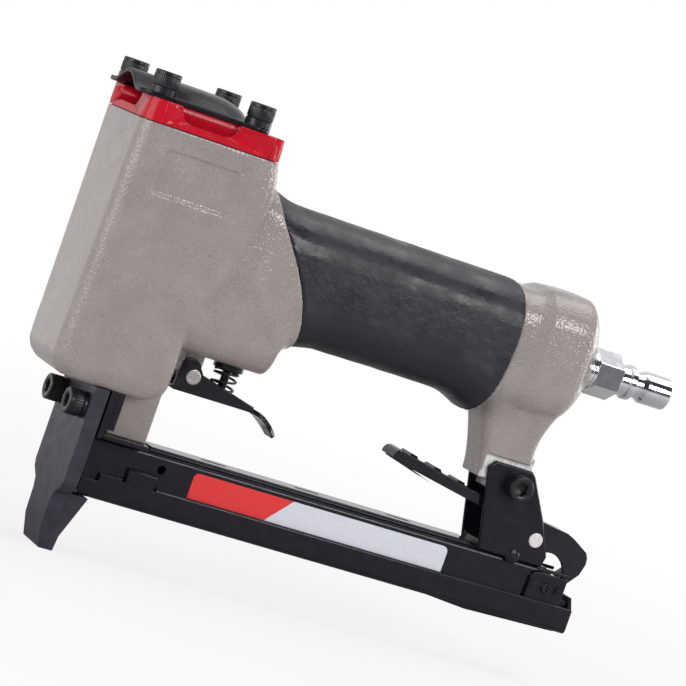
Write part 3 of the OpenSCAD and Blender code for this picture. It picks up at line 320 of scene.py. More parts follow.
@dataclass(frozen=True)
class BlackenedSteel(Finish):
    """Blackened steel, satin, with a faint grain and rubbed patches."""

    roughness: Span = (0.2, 0.32)
    gloss: float = 0.3
    tones: tuple[Span, ...] = ((0.3, 0.78), (0.55, 1.0), (0.8, 1.35))
    tone_noise: Span = (260.0, 4.0)
    sheen_noise: Span = (190.0, 4.0)
    sheen_span: Span = (0.28, 0.72)
    skin_noise: Span = (1500.0, 3.0)
    skin_depth: float = 0.014 * MM


@dataclass(frozen=True)
class MouldedRubber(Finish):
    """Dusty moulded rubber with cloudy gloss and a fine eggshell skin."""

    roughness: Span = (0.42, 0.6)
    tones: tuple[Span, ...] = ((0.36, 0.85), (0.6, 1.05), (0.78, 1.5))
    tone_noise: Span = (1700.0, 3.0)
    sheen_noise: Span = (95.0, 4.0)
    skin_noise: Span = (1300.0, 2.0)
    skin_depth: float = 0.03 * MM
    crumple_noise: Span = (260.0, 4.0)
    crumple_depth: float = 0.05 * MM

    def skin(self, tree: ShaderTree) -> Socket:
        """Normal with the eggshell over a shallow crumple."""
        crumple = tree.bump(tree.noise(*self.crumple_noise), self.crumple_depth)
        return tree.bump(tree.noise(*self.skin_noise), self.skin_depth, crumple)


@dataclass(frozen=True)
class GroundSteel(Finish):
    """Bare ground or drawn metal with fine lines along one direction."""

    roughness: Span = (0.24, 0.42)
    metal: float = 1.0
    tones: tuple[Span, ...] = ((0.3, 0.8), (0.7, 1.08))
    tone_noise: Span = (2400.0, 3.0)
    sheen_noise: Span = (2400.0, 3.0)
    skin_noise: Span = (2400.0, 3.0)
    lines: Point = (0.08, 1.0, 1.0)

    def drift(self, tree: ShaderTree, noise: Span) -> Socket:
        """Noise drawn out into lines."""
        return tree.noise(*noise, tree.stretched(self.lines))


@dataclass(frozen=True)
class ChromePlate(Finish):
    """Bright plating with faint waves and a few dulled patches."""

    roughness: Span = (0.08, 0.16)
    metal: float = 1.0
    tones: tuple[Span, ...] = ((0.3, 0.92), (0.7, 1.04))
    tone_noise: Span = (220.0, 3.0)
    sheen_noise: Span = (350.0, 3.0)
    sheen_span: Span = (0.35, 0.75)
    skin_noise: Span = (500.0, 1.0)


@dataclass(frozen=True)
class FilmStrip(Finish):
    """Smooth film with an almost even colour and a very fine tooth."""


def blackened(name: str, colour: Colour, **look: object) -> BlackenedSteel:
    """Blackened steel of the record's one black slot."""
    return BlackenedSteel("blackened_" + name, Slot.BLACK_STEEL, colour, **look)


def bare(name: str, colour: Colour, **look: object) -> GroundSteel:
    """Bare metal of the record's one bare slot."""
    return GroundSteel(name, Slot.BARE_STEEL, colour, **look)


ENAMEL = HammerEnamel("hammer_enamel_grey", Slot.BODY_PAINT, linear(156, 147, 144))
RED = GlossEnamel("gloss_enamel_red", Slot.RED_PAINT, linear(192, 20, 40))
BLACK = blackened("steel", linear(29, 25, 34))
# Lighter black for the rail's top faces: painted sheen for their bright reflection seen at a grazing angle.
RAIL_PAINTED_SHEEN_BLACK = blackened("rail_top_painted_sheen", linear(60, 58, 64), roughness=(0.06, 0.14), gloss=0.9)
GLOSS_BLACK = blackened("gloss_steel", linear(27, 23, 31), roughness=(0.1, 0.2), gloss=0.4)
DEFLECTOR_BLACK = blackened("deflector_steel", linear(26, 23, 30), gloss=0.18)
# Lighter, greyer copy of the black steel for the nose plate: painted sheen for the light its faces catch.
NOSE_PAINTED_SHEEN_BLACK = blackened("nose_steel_painted_sheen", linear(57, 53, 64), roughness=(0.34, 0.48))
SCREW_BLACK = blackened("screw_steel", linear(31, 28, 34), roughness=(0.24, 0.38), gloss=0.42)
DARK_WIRE = blackened("spring_wire", linear(52, 51, 53), roughness=(0.26, 0.4))
GRIP = MouldedRubber(
    "grip_rubber_dark", Slot.GRIP_RUBBER, linear(33, 31, 39), roughness=(0.28, 0.54), crumple_depth=0.3 * MM
)
SEAL = MouldedRubber("seal_rubber_black", Slot.BLACK_RUBBER, linear(24, 24, 25), roughness=(0.5, 0.66))
MILLED = bare(
    "milled_alloy", linear(232, 231, 232), roughness=(0.34, 0.5), metal=0.25, lines=(1.0, 1.0, 0.2)
)
STEEL = bare("ground_steel", linear(206, 202, 200))
PIN_STEEL = bare("bright_pin_steel", linear(236, 231, 232), roughness=(0.3, 0.45), metal=0.4, lines=EVEN)
SPRING_WIRE = bare("drawn_spring_wire", linear(150, 147, 145), roughness=(0.25, 0.4))
PLATING = ChromePlate("bright_plating", Slot.CHROME, linear(226, 228, 232))
FILM_RED = FilmStrip("film_red", Slot.RED_PAINT, linear(226, 48, 50))
FILM_PALE = FilmStrip("film_pale", Slot.BARE_STEEL, linear(214, 216, 226))


# Mesh tools


def new_piece(name: str, mesh: bpy.types.Mesh) -> bpy.types.Object:
    """Links a mesh into the scene as an object.

    Args:
        name: Name of the piece.
        mesh: Its mesh.

    Returns:
        The object.
    """
    mesh.name = name
    piece = bpy.data.objects.new(name, mesh)
    bpy.context.scene.collection.objects.link(piece)
    return piece


def mount(
    piece: bpy.types.Object, body: Body, finishes: Finish | Sequence[Finish], nodes: Sequence[str] = ()
) -> bpy.types.Object:
    """Dresses a piece, hangs it on a body and lets it stand for CAD nodes.

    Args:
        piece: The piece, in place.
        body: Body that carries it.
        finishes: Its finish, or several in the order of its faces' material numbers.
        nodes: CAD nodes that it stands for.

    Returns:
        The piece.
    """
    coats = [finishes] if isinstance(finishes, Finish) else list(finishes)
    piece.data.materials.clear()
    for coat in coats:
        piece.data.materials.append(coat.material())
    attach(piece, body.value)
    if nodes:
        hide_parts(*nodes)
    LOG.info("%s: %d faces on %s", piece.name, len(piece.data.polygons), body.value)
    return piece


def dress_nodes(finish: Finish, *nodes: str) -> None:
    """Gives CAD nodes that stay as they are a finish.

    Args:
        finish: The finish.
        nodes: Names of the nodes.
    """
    for node in nodes:
        for slot in bpy.data.objects[node].material_slots:
            slot.material = finish.material()
        LOG.info("%s: CAD node, %s", node, finish.name)


def mesh_of(bm: bmesh.types.BMesh) -> bpy.types.Mesh:
    """Turns a mesh under work into a finished one.

    Args:
        bm: The mesh under work, which is let go.

    Returns:
        The mesh.
    """
    mesh = bpy.data.meshes.new("mesh")
    bm.to_mesh(mesh)
    bm.free()
    return mesh


def mesh_from(points: Sequence[Point], faces: Sequence[Sequence[int]]) -> bpy.types.Mesh:
    """Makes a mesh of points and faces.

    Args:
        points: The points.
        faces: Point numbers of each face.

    Returns:
        The mesh.
    """
    mesh = bpy.data.meshes.new("mesh")
    mesh.from_pydata(points, [], faces)
    mesh.update()
    return mesh


def welded(node: str) -> bmesh.types.BMesh:
    """Copy of a CAD node's mesh with its faces joined along their edges.

    Args:
        node: Name of the node.

    Returns:
        The copy.
    """
    bm = bmesh.new()
    bm.from_mesh(bpy.data.objects[node].data)
    bmesh.ops.remove_doubles(bm, verts=bm.verts, dist=WELD)
    bmesh.ops.dissolve_degenerate(bm, dist=COLLAPSED, edges=bm.edges)
    return bm


def soft_shaded(mesh: bpy.types.Mesh, crease: float) -> None:
    """Shades a mesh smooth except over edges sharper than a crease, in radians."""
    mesh.shade_smooth()
    mesh.set_sharp_from_angle(angle=crease)


def volume_of(mesh: bpy.types.Mesh) -> float:
    """Volume that a closed mesh holds.

    Args:
        mesh: The mesh.

    Returns:
        The volume.
    """
    bm = bmesh.new()
    bm.from_mesh(mesh)
    volume = bm.calc_volume()
    bm.free()
    return volume


def rows_of(
    items: bpy.types.bpy_prop_collection, key: str, width: int = 3, kind: type = float
) -> np.ndarray:
    """Numbers of each of a mesh's points or edges.

    Args:
        items: The points or edges.
        key: Which numbers.
        width: How many each has.
        kind: Kind of number.

    Returns:
        One row for each.
    """
    flat = np.empty(len(items) * width, dtype=kind)
    items.foreach_get(key, flat)
    return flat.reshape(-1, width)


def put_points(mesh: bpy.types.Mesh, points: np.ndarray) -> None:
    """Puts moved points back into a mesh."""
    mesh.vertices.foreach_set("co", points.ravel())
    mesh.update()


def applied(piece: bpy.types.Object) -> bpy.types.Mesh:
    """Mesh of a piece with its modifiers in it; the piece itself is taken away.

    Args:
        piece: The piece.

    Returns:
        The mesh.
    """
    graph = bpy.context.evaluated_depsgraph_get()
    mesh = bpy.data.meshes.new_from_object(piece.evaluated_get(graph))
    bpy.data.objects.remove(piece)
    return mesh


@dataclass(frozen=True)
class BrokenEdges:
    """Copies of CAD nodes with their sharp edges broken, as deburred parts have.

    Each try is a share of the width, the shortest edge that is broken, and whether the width gives way
    where edges are short. The first that keeps the node's box and volume is taken. A folded sheet may
    also have a rim: a wider roll along the outer edges of its sides.
    """

    width: float
    segments: int = 2
    rim: float = 0.0
    rim_segments: int = 4
    rim_length: float = 8 * MM
    rim_lean: float = 0.6 * MM
    rim_end: float = 0.5 * MM
    rim_run: float = 0.99
    crease: float = math.radians(34)
    smooth_to: float = math.radians(48)
    flat_to: float = math.radians(0.4)
    tries: tuple[tuple[float, float, bool], ...] = (
        (1.0, 0.0, False),
        (1.0, 2.0 * MM, False),
        (0.6, 2.0 * MM, False),
        (0.4, 0.0, False),
        (1.0, 0.0, True),
    )
    kept_volume: Span = (0.96, 1.002)
    box_slack: float = 0.01 * MM

    def copy(self, node: str) -> bpy.types.Object:
        """Copies a node.

        Args:
            node: Name of the node.

        Returns:
            The piece.
        """
        whole = volume_of(bpy.data.objects[node].data)
        low, high = (np.array(corner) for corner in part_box(node))
        for share, least, clamp in self.tries:
            mesh = self.mesh(node, share * self.width, least, clamp)
            points = rows_of(mesh.vertices, "co")
            inside = (points > low - self.box_slack).all() and (points < high + self.box_slack).all()
            kept = volume_of(mesh) / whole
            if inside and self.kept_volume[0] < kept < self.kept_volume[1]:
                break
        LOG.info("%s: %.2f of the edges' width, %.4f of the volume", node, share, kept)
        piece = new_piece(node + "_edged", mesh)
        soft_shaded(mesh, self.smooth_to)
        weighted = piece.modifiers.new("even_flats", "WEIGHTED_NORMAL")
        weighted.keep_sharp = True
        weighted.use_face_influence = True
        return piece

    def mesh(self, node: str, width: float, least: float, clamp: bool) -> bpy.types.Mesh:
        """Makes one try.

        Args:
            node: Name of the node.
            width: Width of the broken edges.
            least: Length from which an edge is broken.
            clamp: Whether the width gives way where edges are short.

        Returns:
            The mesh.
        """
        bm = welded(node)
        bmesh.ops.dissolve_limit(
            bm, angle_limit=self.flat_to, verts=bm.verts, edges=bm.edges, delimit={"NORMAL"}
        )
        if self.rim:
            self.bevel(bm, self.rims(bm), self.rim, self.rim_segments, False)
            least = max(least, self.rim_end)
        self.bevel(bm, self.sharp(bm, least), width, self.segments, clamp)
        bmesh.ops.triangulate(bm, faces=[f for f in bm.faces if len(f.verts) > 4])
        return mesh_of(bm)

    def sharp(self, bm: bmesh.types.BMesh, least: float) -> list[bmesh.types.BMEdge]:
        """Edges of a mesh that are sharper than the crease and no shorter than a length."""
        closed = [e for e in bm.edges if len(e.link_faces) == 2 and e.calc_length() >= least]
        return [e for e in closed if e.calc_face_angle(0.0) > self.crease]

    def rims(self, bm: bmesh.types.BMesh) -> list[bmesh.types.BMEdge]:
        """Long sharp edges that run lengthwise along the outer sides of a folded sheet.

        Args:
            bm: The sheet's mesh.

        Returns:
            The edges.
        """
        side = max(abs(v.co.y) for v in bm.verts) - self.rim_lean
        outer = [e for e in self.sharp(bm, self.rim_length) if all(abs(v.co.y) > side for v in e.verts)]
        return [e for e in outer if abs(e.verts[0].co.x - e.verts[1].co.x) > self.rim_run * e.calc_length()]

    @staticmethod
    def bevel(
        bm: bmesh.types.BMesh, edges: list[bmesh.types.BMEdge], width: float, segments: int, clamp: bool
    ) -> None:
        """Breaks edges of a mesh, and marks the flats beside them as such.

        Args:
            bm: The mesh.
            edges: Edges to break.
            width: Width of the broken edge.
            segments: Strips across it.
            clamp: Whether the width gives way where edges are short.
        """
        bmesh.ops.bevel(
            bm,
            geom=edges,
            offset=width,
            offset_type="OFFSET",
            segments=segments,
            profile=0.5,
            affect="EDGES",
            clamp_overlap=clamp,
            material=-1,
            face_strength_mode="ALL",
        )


def mount_edged(
    node: str, width: float, body: Body, finishes: Finish | Sequence[Finish], **more: float
) -> bpy.types.Object:
    """Mounts a copy of a CAD node, with its edges broken to a width, in the node's place."""
    return mount(BrokenEdges(width, **more).copy(node), body, finishes, (node,))


def corner_normals(points: np.ndarray, faces: np.ndarray, crease: float) -> np.ndarray:
    """Normals at the corners of triangles, even across edges flatter than a crease.

    Args:
        points: Points, one row each.
        faces: Triangles, three point numbers each.
        crease: Angle in radians.

    Returns:
        Unit normals, one for each corner of each triangle.
    """
    tiny = 1e-18
    corners = points[faces]
    flat = np.cross(corners[:, 1] - corners[:, 0], corners[:, 2] - corners[:, 0])
    size = np.linalg.norm(flat, axis=1, keepdims=True)
    unit = flat / np.maximum(size, tiny)
    around: dict[int, list[int]] = {}
    for face, trio in enumerate(faces):
        for point in trio:
            around.setdefault(int(point), []).append(face)
    normals = np.zeros((len(faces), 3, 3))
    limit = math.cos(crease)
    for point, list_of in around.items():
        near = np.array(list_of)
        alike = (unit[near] @ unit[near].T > limit) * size[near, 0][None, :]
        mean = alike @ unit[near]
        mean /= np.maximum(np.linalg.norm(mean, axis=1, keepdims=True), tiny)
        for row, face in enumerate(near):
            normals[face, np.where(faces[face] == point)[0][0]] = mean[row]
    return normals


@cache
def small_triangles(parts: int) -> tuple[np.ndarray, np.ndarray]:
    """Splits a triangle evenly.

    Args:
        parts: Parts along each side.

    Returns:
        The three old corners' shares in each new corner, and the small triangles.
    """
    spots = [(i, j) for i in range(parts + 1) for j in range(parts + 1 - i)]
    number = {spot: n for n, spot in enumerate(spots)}
    small = []
    for i, j in spots:
        if i + j < parts:
            small.append((number[i, j], number[i + 1, j], number[i, j + 1]))
        if i + j < parts - 1:
            small.append((number[i + 1, j], number[i + 1, j + 1], number[i, j + 1]))
    return np.array([(parts - i - j, i, j) for i, j in spots]) / parts, np.array(small)


def curved_facets(
    points: np.ndarray, faces: np.ndarray, normals: np.ndarray, bow: float
) -> tuple[np.ndarray, np.ndarray]:
    """Splits triangles where they curve and bows each one to the normals at its corners.

    Args:
        points: Points, one row each.
        faces: Triangles, three point numbers each.
        normals: Normals at the corners.
        bow: Share of the full bow, 0 to 1.

    Returns:
        The points and the triangles of the bowed facets, unjoined.
    """
    fine, most = 0.01 * MM, 24
    all_points: list[np.ndarray] = []
    all_faces: list[np.ndarray] = []
    start = 0
    for trio, normal in zip(points[faces], normals):
        sides = [trio[k] - trio[k - 1] for k in range(3)]
        rise = max(abs(sides[k] @ normal[k]) + abs(sides[k] @ normal[k - 1]) for k in range(3))
        share, small = small_triangles(min(most, max(1, math.ceil(math.sqrt(bow * rise / 8 / fine)))))
        flat = share @ trio
        pulled = np.zeros_like(flat)
        for k in range(3):
            off = (flat - trio[k]) @ normal[k]
            pulled += share[:, k : k + 1] * (flat - off[:, None] * normal[k])
        all_points.append(flat + bow * (pulled - flat))
        all_faces.append(small + start)
        start += len(flat)
    return np.concatenate(all_points), np.concatenate(all_faces)


class Neighbours:
    """Edges between numbered points, for means over the points next to each one."""

    def __init__(self, pairs: np.ndarray, size: int) -> None:
        """Notes the edges.

        Args:
            pairs: Point numbers of each edge, one row each.
            size: Number of points.
        """
        self.one, self.two = pairs.T
        self.size = size
        self.count = np.maximum(np.bincount(pairs.ravel(), minlength=size), 1)[:, None]

    def mean(self, points: np.ndarray) -> np.ndarray:
        """Mean of the points next to each point.

        Args:
            points: Points, one row each.

        Returns:
            The means, one row each.
        """
        one, two = self.one, self.two
        sums = [
            np.bincount(one, line[two], self.size) + np.bincount(two, line[one], self.size)
            for line in points.T
        ]
        return np.stack(sums, axis=1) / self.count


def relaxed(mesh: bpy.types.Mesh, rounds: int) -> None:
    """Evens out a mesh without shrinking it, which rounds its edges a little.

    Args:
        mesh: The mesh.
        rounds: Times that it is evened out.
    """
    inward, outward = 0.5, -0.52
    points = rows_of(mesh.vertices, "co")
    near = Neighbours(rows_of(mesh.edges, "vertices", 2, np.int64), len(points))
    for pull in (inward, outward) * rounds:
        points = points + pull * (near.mean(points) - points)
    put_points(mesh, points)


@dataclass(frozen=True)
class Cove:
    """Box in which a casting's hollow corners are filled, as fillets do.

    Y counts from the middle plane to both sides, and the fill fades out at the box's walls.
    """

    low: Point
    high: Point
    rounds: int
    fade: float = 2.5 * MM
    fresh_normals: int = 6
    pull: float = 0.5

    def fill(self, mesh: bpy.types.Mesh) -> None:
        """Fills the corners of a mesh.

        Args:
            mesh: The mesh.
        """
        points = rows_of(mesh.vertices, "co")
        spot = np.c_[points[:, 0], np.abs(points[:, 1]), points[:, 2]]
        depth = np.minimum(spot - np.array(self.low), np.array(self.high) - spot).min(1)
        weight = np.clip(depth / self.fade, 0, 1)
        inside = np.flatnonzero(weight > 0)
        number = np.full(len(points), -1)
        number[inside] = np.arange(len(inside))
        pairs = number[rows_of(mesh.edges, "vertices", 2, np.int64)]
        near = Neighbours(pairs[(pairs >= 0).all(1)], len(inside))
        part, share = points[inside], self.pull * weight[inside][:, None]
        for turn in range(self.rounds):
            if turn % self.fresh_normals == 0:
                points[inside] = part
                put_points(mesh, points)
                normals = rows_of(mesh.vertices, "normal")[inside]
            pull = ((near.mean(part) - part) * normals).sum(1, keepdims=True)
            part = part + share * np.maximum(pull, 0.0) * normals
        points[inside] = part
        put_points(mesh, points)


@dataclass(frozen=True)
class CastSkin:
    """Smooth closed skin over a faceted CAD node, with its edges a little rounded.

    The skin is drawn on a grid of voxels over the node's bowed facets, evened out for some rounds and
    coved, and a share of its faces is kept. Edges sharper than the crease stay edges.
    """

    node: str
    voxel: float
    crease: float
    rounds: int
    keep: float
    coves: tuple[Cove, ...] = ()
    bows: tuple[float, ...] = (0.75, 0.4, 0.0)
    off_volume: float = 0.02

    def build(self) -> bpy.types.Mesh:
        """Builds the skin.

        Returns:
            The mesh.
        """
        skin = self.gridded()
        relaxed(skin, self.rounds)
        for cove in self.coves:
            cove.fill(skin)
        thick = new_piece(self.node + "_thick", skin)
        thick.modifiers.new("fewer", "DECIMATE").ratio = self.keep
        mesh = applied(thick)
        mesh.shade_smooth()
        return mesh

    def gridded(self) -> bpy.types.Mesh:
        """Draws the skin on its grid, with the greatest bow that keeps the node's volume.

        Returns:
            The mesh.
        """
        bm = welded(self.node)
        bmesh.ops.triangulate(bm, faces=bm.faces)
        bm.verts.index_update()
        points = np.array([v.co for v in bm.verts])
        faces = np.array([[v.index for v in f.verts] for f in bm.faces])
        volume = bm.calc_volume()
        bm.free()
        normals = corner_normals(points, faces, self.crease)
        for bow in self.bows:
            fine = curved_facets(points, faces, normals, bow)
            rough = new_piece(self.node + "_rough", mesh_from(*(rows.tolist() for rows in fine)))
            grid = rough.modifiers.new("grid", "REMESH")
            grid.mode = "VOXEL"
            grid.voxel_size = self.voxel
            skin = applied(rough)
            share = volume_of(skin) / volume
            LOG.info("%s: bow %.2f, %.4f of the solid's volume", self.node, bow, share)
            if abs(share - 1) < self.off_volume:
                break
        return skin


def ringed(points: Sequence[Point], sides: int) -> bpy.types.Mesh:
    """Closed form of rings of points, one after the other, with a face over each end.

    Args:
        points: Points, ring by ring.
        sides: Points in each ring.

    Returns:
        The mesh.
    """
    size = len(points)
    faces = [tuple(reversed(range(sides))), tuple(range(size - sides, size))]
    for low in range(0, size - sides, sides):
        for k in range(sides):
            n = (k + 1) % sides
            faces.append((low + k, low + n, low + n + sides, low + k + sides))
    return mesh_from(points, faces)


def tube(path: np.ndarray, radius: float, sides: int = 10) -> bpy.types.Mesh:
    """Closed round wire along a path.

    Args:
        path: Points of its middle line, one row each.
        radius: Radius of the wire.
        sides: Points round the wire.

    Returns:
        The mesh.
    """
    along = np.gradient(path, axis=0)
    along /= np.linalg.norm(along, axis=1, keepdims=True)
    side = np.cross(along[0], (0.31, 0.17, 0.93))
    points = []
    for spot, ahead in zip(path, along):
        side = side - ahead * np.dot(side, ahead)
        side /= np.linalg.norm(side)
        over = np.cross(ahead, side)
        for k in range(sides):
            a = 2 * math.pi * k / sides
            points.append(tuple(spot + radius * (math.cos(a) * side + math.sin(a) * over)))
    mesh = ringed(points, sides)
    soft_shaded(mesh, WIRE_CREASE)
    return mesh


@dataclass(frozen=True)
class CoilSpring:
    """Coil spring that stands for a CAD node.

    It runs along X or Z (axis 0 or 2). The dead turns at its ends lie
    almost flat, and take up a small share of its length.
    """

    node: str
    name: str
    joint: str
    axis: int
    wire: float
    turns: float
    dead: float
    keep: float
    per_turn: int = 28
    sides: int = 10
    flat: float = 0.06

    def build(self, body: Body, finish: Finish) -> None:
        """Winds and dresses the spring.

        Args:
            body: Body that carries it.
            finish: Its finish.
        """
        low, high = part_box(self.node)
        anchor = (low + high) / 2
        start, end = anchor.copy(), anchor.copy()
        anchor[self.axis] = high[self.axis]
        start[self.axis] = low[self.axis] + self.wire
        end[self.axis] = high[self.axis] - self.wire
        path = self.path(np.array(start), np.array(end), (high.y - low.y) / 2 - self.wire)
        piece = mount(new_piece(self.name, tube(path, self.wire, self.sides)), body, finish, (self.node,))
        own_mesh(piece)

    def path(self, start: np.ndarray, end: np.ndarray, radius: float) -> np.ndarray:
        """Middle line of the wire.

        Args:
            start: Middle of the first end.
            end: Middle of the last end.
            radius: Radius to the middle of the wire.

        Returns:
            The points, one row each.
        """
        reach = end - start
        ahead = reach / np.linalg.norm(reach)
        side = np.cross(ahead, (0.0, 1.0, 0.0))
        side /= np.linalg.norm(side)
        over = np.cross(ahead, side)
        turn = np.linspace(0, self.turns, int(self.turns * self.per_turn) + 1)
        share = (1 - 2 * self.flat) * np.clip((turn - self.dead) / (self.turns - 2 * self.dead), 0, 1)
        for first in (0.0, self.turns - self.dead):
            share += self.flat * np.clip((turn - first) / self.dead, 0, 1)
        angle = 2 * math.pi * turn[:, None]
        return start + share[:, None] * reach + radius * (np.cos(angle) * side + np.sin(angle) * over)


# Sub-assemblies


@dataclass
class SocketScrew:
    """Cap screw with a knurled head and a hexagon socket, drawn head up with its seat on z = 0."""

    head_d: float = 8.5 * MM
    head_h: float = 5.0 * MM
    key: float = 4.0 * MM
    key_depth: float = 2.6 * MM
    shank_d: float = 4.96 * MM
    edge: float = 0.55 * MM
    knurled_share: float = 0.7
    knurls: int = 36
    knurl_depth: float = 0.16 * MM
    points_per_knurl: int = 4
    crease: float = math.radians(34)

    def mount_set(self, name: str, node: str, shank: float, places: Sequence[Matrix]) -> None:
        """Builds screws in their places and mounts them as one piece.

        Args:
            name: Name of the piece.
            node: CAD node that it stands for.
            shank: Length of the shanks.
            places: Place of each screw.
        """
        screw = self.build(shank)
        bm = bmesh.new()
        for place in places:
            copy = screw.copy()
            copy.transform(place)
            bm.from_mesh(copy)
            bpy.data.meshes.remove(copy)
        mesh = mesh_of(bm)
        soft_shaded(mesh, self.crease)
        mount(new_piece(name, mesh), Body.ROOT, SCREW_BLACK, (node,))

    def build(self, shank: float) -> bpy.types.Mesh:
        """Builds one screw.

        Args:
            shank: Length of the shank.

        Returns:
            The mesh.
        """
        r, top, thin, edge, bore = self.head_d / 2, self.head_h, self.shank_d / 2, self.edge, self.key / 2
        crown = top * self.knurled_share
        rings: list[tuple[float, float | Callable[[float], float]]] = [
            (-shank, thin * 0.3),
            (-shank, thin * 0.82),
            (-shank + 0.5 * MM, thin),
            (-0.01 * MM, thin),
            (0.0, r - 0.45 * MM),
            (0.12 * MM, r - 0.3 * MM),
            (0.35 * MM, r - 0.18 * MM),
            (0.6 * MM, self.knurled),
            (crown, self.knurled),
            (crown + 0.2 * MM, r - 0.15 * MM),
            (crown + 0.35 * MM, r - 0.02 * MM),
        ]
        for a in (math.pi / 8 * k for k in range(5)):
            rings.append((top - edge + edge * math.sin(a), r - edge + edge * math.cos(a)))
        rings += [
            (top, bore * 1.26),
            (top - 0.12 * MM, bore * 1.17),
            (top - 0.4 * MM, self.hexagon),
            (top - self.key_depth, self.hexagon),
            (top - self.key_depth - 0.5 * MM, 0.3 * MM),
        ]
        sides = self.knurls * self.points_per_knurl
        points = []
        for z, radius in rings:
            for a in (2 * math.pi * k / sides for k in range(sides)):
                reach = radius(a) if callable(radius) else radius
                points.append((reach * math.cos(a), reach * math.sin(a), z))
        return ringed(points, sides)

    def knurled(self, angle: float) -> float:
        """Radius of the head's shallow teeth at an angle."""
        wave = abs(((angle * self.knurls / (2 * math.pi)) % 1.0) * 2 - 1)
        return self.head_d / 2 - self.knurl_depth * min(1.0, 1.4 * wave)

    def hexagon(self, angle: float) -> float:
        """Radius of the socket's six flats at an angle."""
        part = (angle + math.pi / 6) % (math.pi / 3) - math.pi / 6
        return self.key / 2 / math.cos(part)


@dataclass
class CastBody:
    """Die-cast gun body in hammered enamel, with flats milled bare where the bracket clamps it."""

    skin: CastSkin = CastSkin(
        node="gun_body",
        voxel=0.42 * MM,
        crease=math.radians(31),
        rounds=2,
        keep=0.26,
        coves=(
            Cove((0.014, 0.006, 0.078), (0.046, 0.03, 0.134), 60),
            Cove((0.120, 0.0, 0.073), (0.170, 0.03, 0.122), 90),
            Cove((0.002, 0.0, 0.046), (0.028, 0.012, 0.062), 40),
        ),
    )
    flat_y: float = 6.5 * MM
    flat_from_x: float = 134.0 * MM
    flat_below_z: float = 70.6 * MM
    flat_slack: float = 0.4 * MM
    flat_facing: float = 0.75

    def build(self) -> None:
        """Builds and dresses the casting."""
        mesh = self.skin.build()
        mount(new_piece("cast_body", mesh), Body.ROOT, (ENAMEL, MILLED), (self.skin.node,))
        self.mill(mesh)

    def mill(self, mesh: bpy.types.Mesh) -> None:
        """Bares the flats under the bracket's plates.

        Args:
            mesh: The casting's mesh.
        """
        for face in mesh.polygons:
            x, y, z = face.center
            on_flat = abs(abs(y) - self.flat_y) < self.flat_slack and abs(face.normal.y) > self.flat_facing
            if on_flat and x > self.flat_from_x and z < self.flat_below_z:
                face.material_index = 1


@dataclass
class RubberGrip:
    """Moulded rubber sleeve stretched over the handle."""

    skin: CastSkin = CastSkin("grip_sleeve", 0.5 * MM, math.radians(36), rounds=6, keep=0.45)
    ripple: float = 0.16 * MM
    still_end: float = 0.08

    def build(self) -> None:
        """Builds and dresses the sleeve."""
        mesh = self.skin.build()
        self.wrinkle(mesh)
        mount(new_piece("moulded_grip", mesh), Body.ROOT, GRIP, (self.skin.node,))

    def wrinkle(self, mesh: bpy.types.Mesh) -> None:
        """Lets the sleeve's outside sink in shallow ripples, as stretched rubber does.

        Args:
            mesh: The sleeve's mesh.
        """
        points, normals = rows_of(mesh.vertices, "co"), rows_of(mesh.vertices, "normal")
        low, high = points.min(0), points.max(0)
        x, z = points[:, 0], points[:, 2]
        share = (x - low[0]) / (high[0] - low[0])
        middle = np.sin(np.pi * np.clip((share - self.still_end) / (1 - 2 * self.still_end), 0, 1))
        lean = x + 0.32 * z
        wave = (
            np.sin(lean * 2 * math.pi / (11.5 * MM) + 6 * share)
            + 0.6 * np.sin(lean * 2 * math.pi / (17.3 * MM) + 40 * z + 1.7)
            + 0.5 * np.sin(z * 2 * math.pi / (23.0 * MM) - 55 * x)
        )
        outward = ((points - (low + high) / 2)[:, 1:] * normals[:, 1:]).sum(1) > 0
        sink = -self.ripple * (0.5 + wave / 4.2) * np.clip(middle, 0, 1) * outward
        put_points(mesh, points + sink[:, None] * normals)


@dataclass
class CapStack:
    """Red cap, its gasket, the pressed exhaust deflector and the four cap screws."""

    screw: SocketScrew = field(default_factory=SocketScrew)
    shank: float = 22.0 * MM
    spins: tuple[float, ...] = (0.3, 0.75, 0.1, 0.5)

    def build(self) -> None:
        """Builds and dresses the stack."""
        mount_edged("cylinder_cap", 0.35 * MM, Body.ROOT, RED, segments=3)
        mount_edged("exhaust_deflector", 0.3 * MM, Body.ROOT, DEFLECTOR_BLACK)
        dress_nodes(SEAL, "cap_gasket")
        dress_nodes(SCREW_BLACK, "cap_lock_washers")
        low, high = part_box("cap_screws")
        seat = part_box("cap_lock_washers")[1].z
        inset = self.screw.head_d / 2
        rows, columns = (low.y + inset, high.y - inset), (low.x + inset, high.x - inset)
        spots = [(x, y, seat) for y in rows for x in columns]
        places = [
            Matrix.Translation(spot) @ Matrix.Rotation(spin, 4, "Z")
            for spot, spin in zip(spots, self.spins)
        ]
        self.screw.mount_set("cap_screw_set", "cap_screws", self.shank, places)


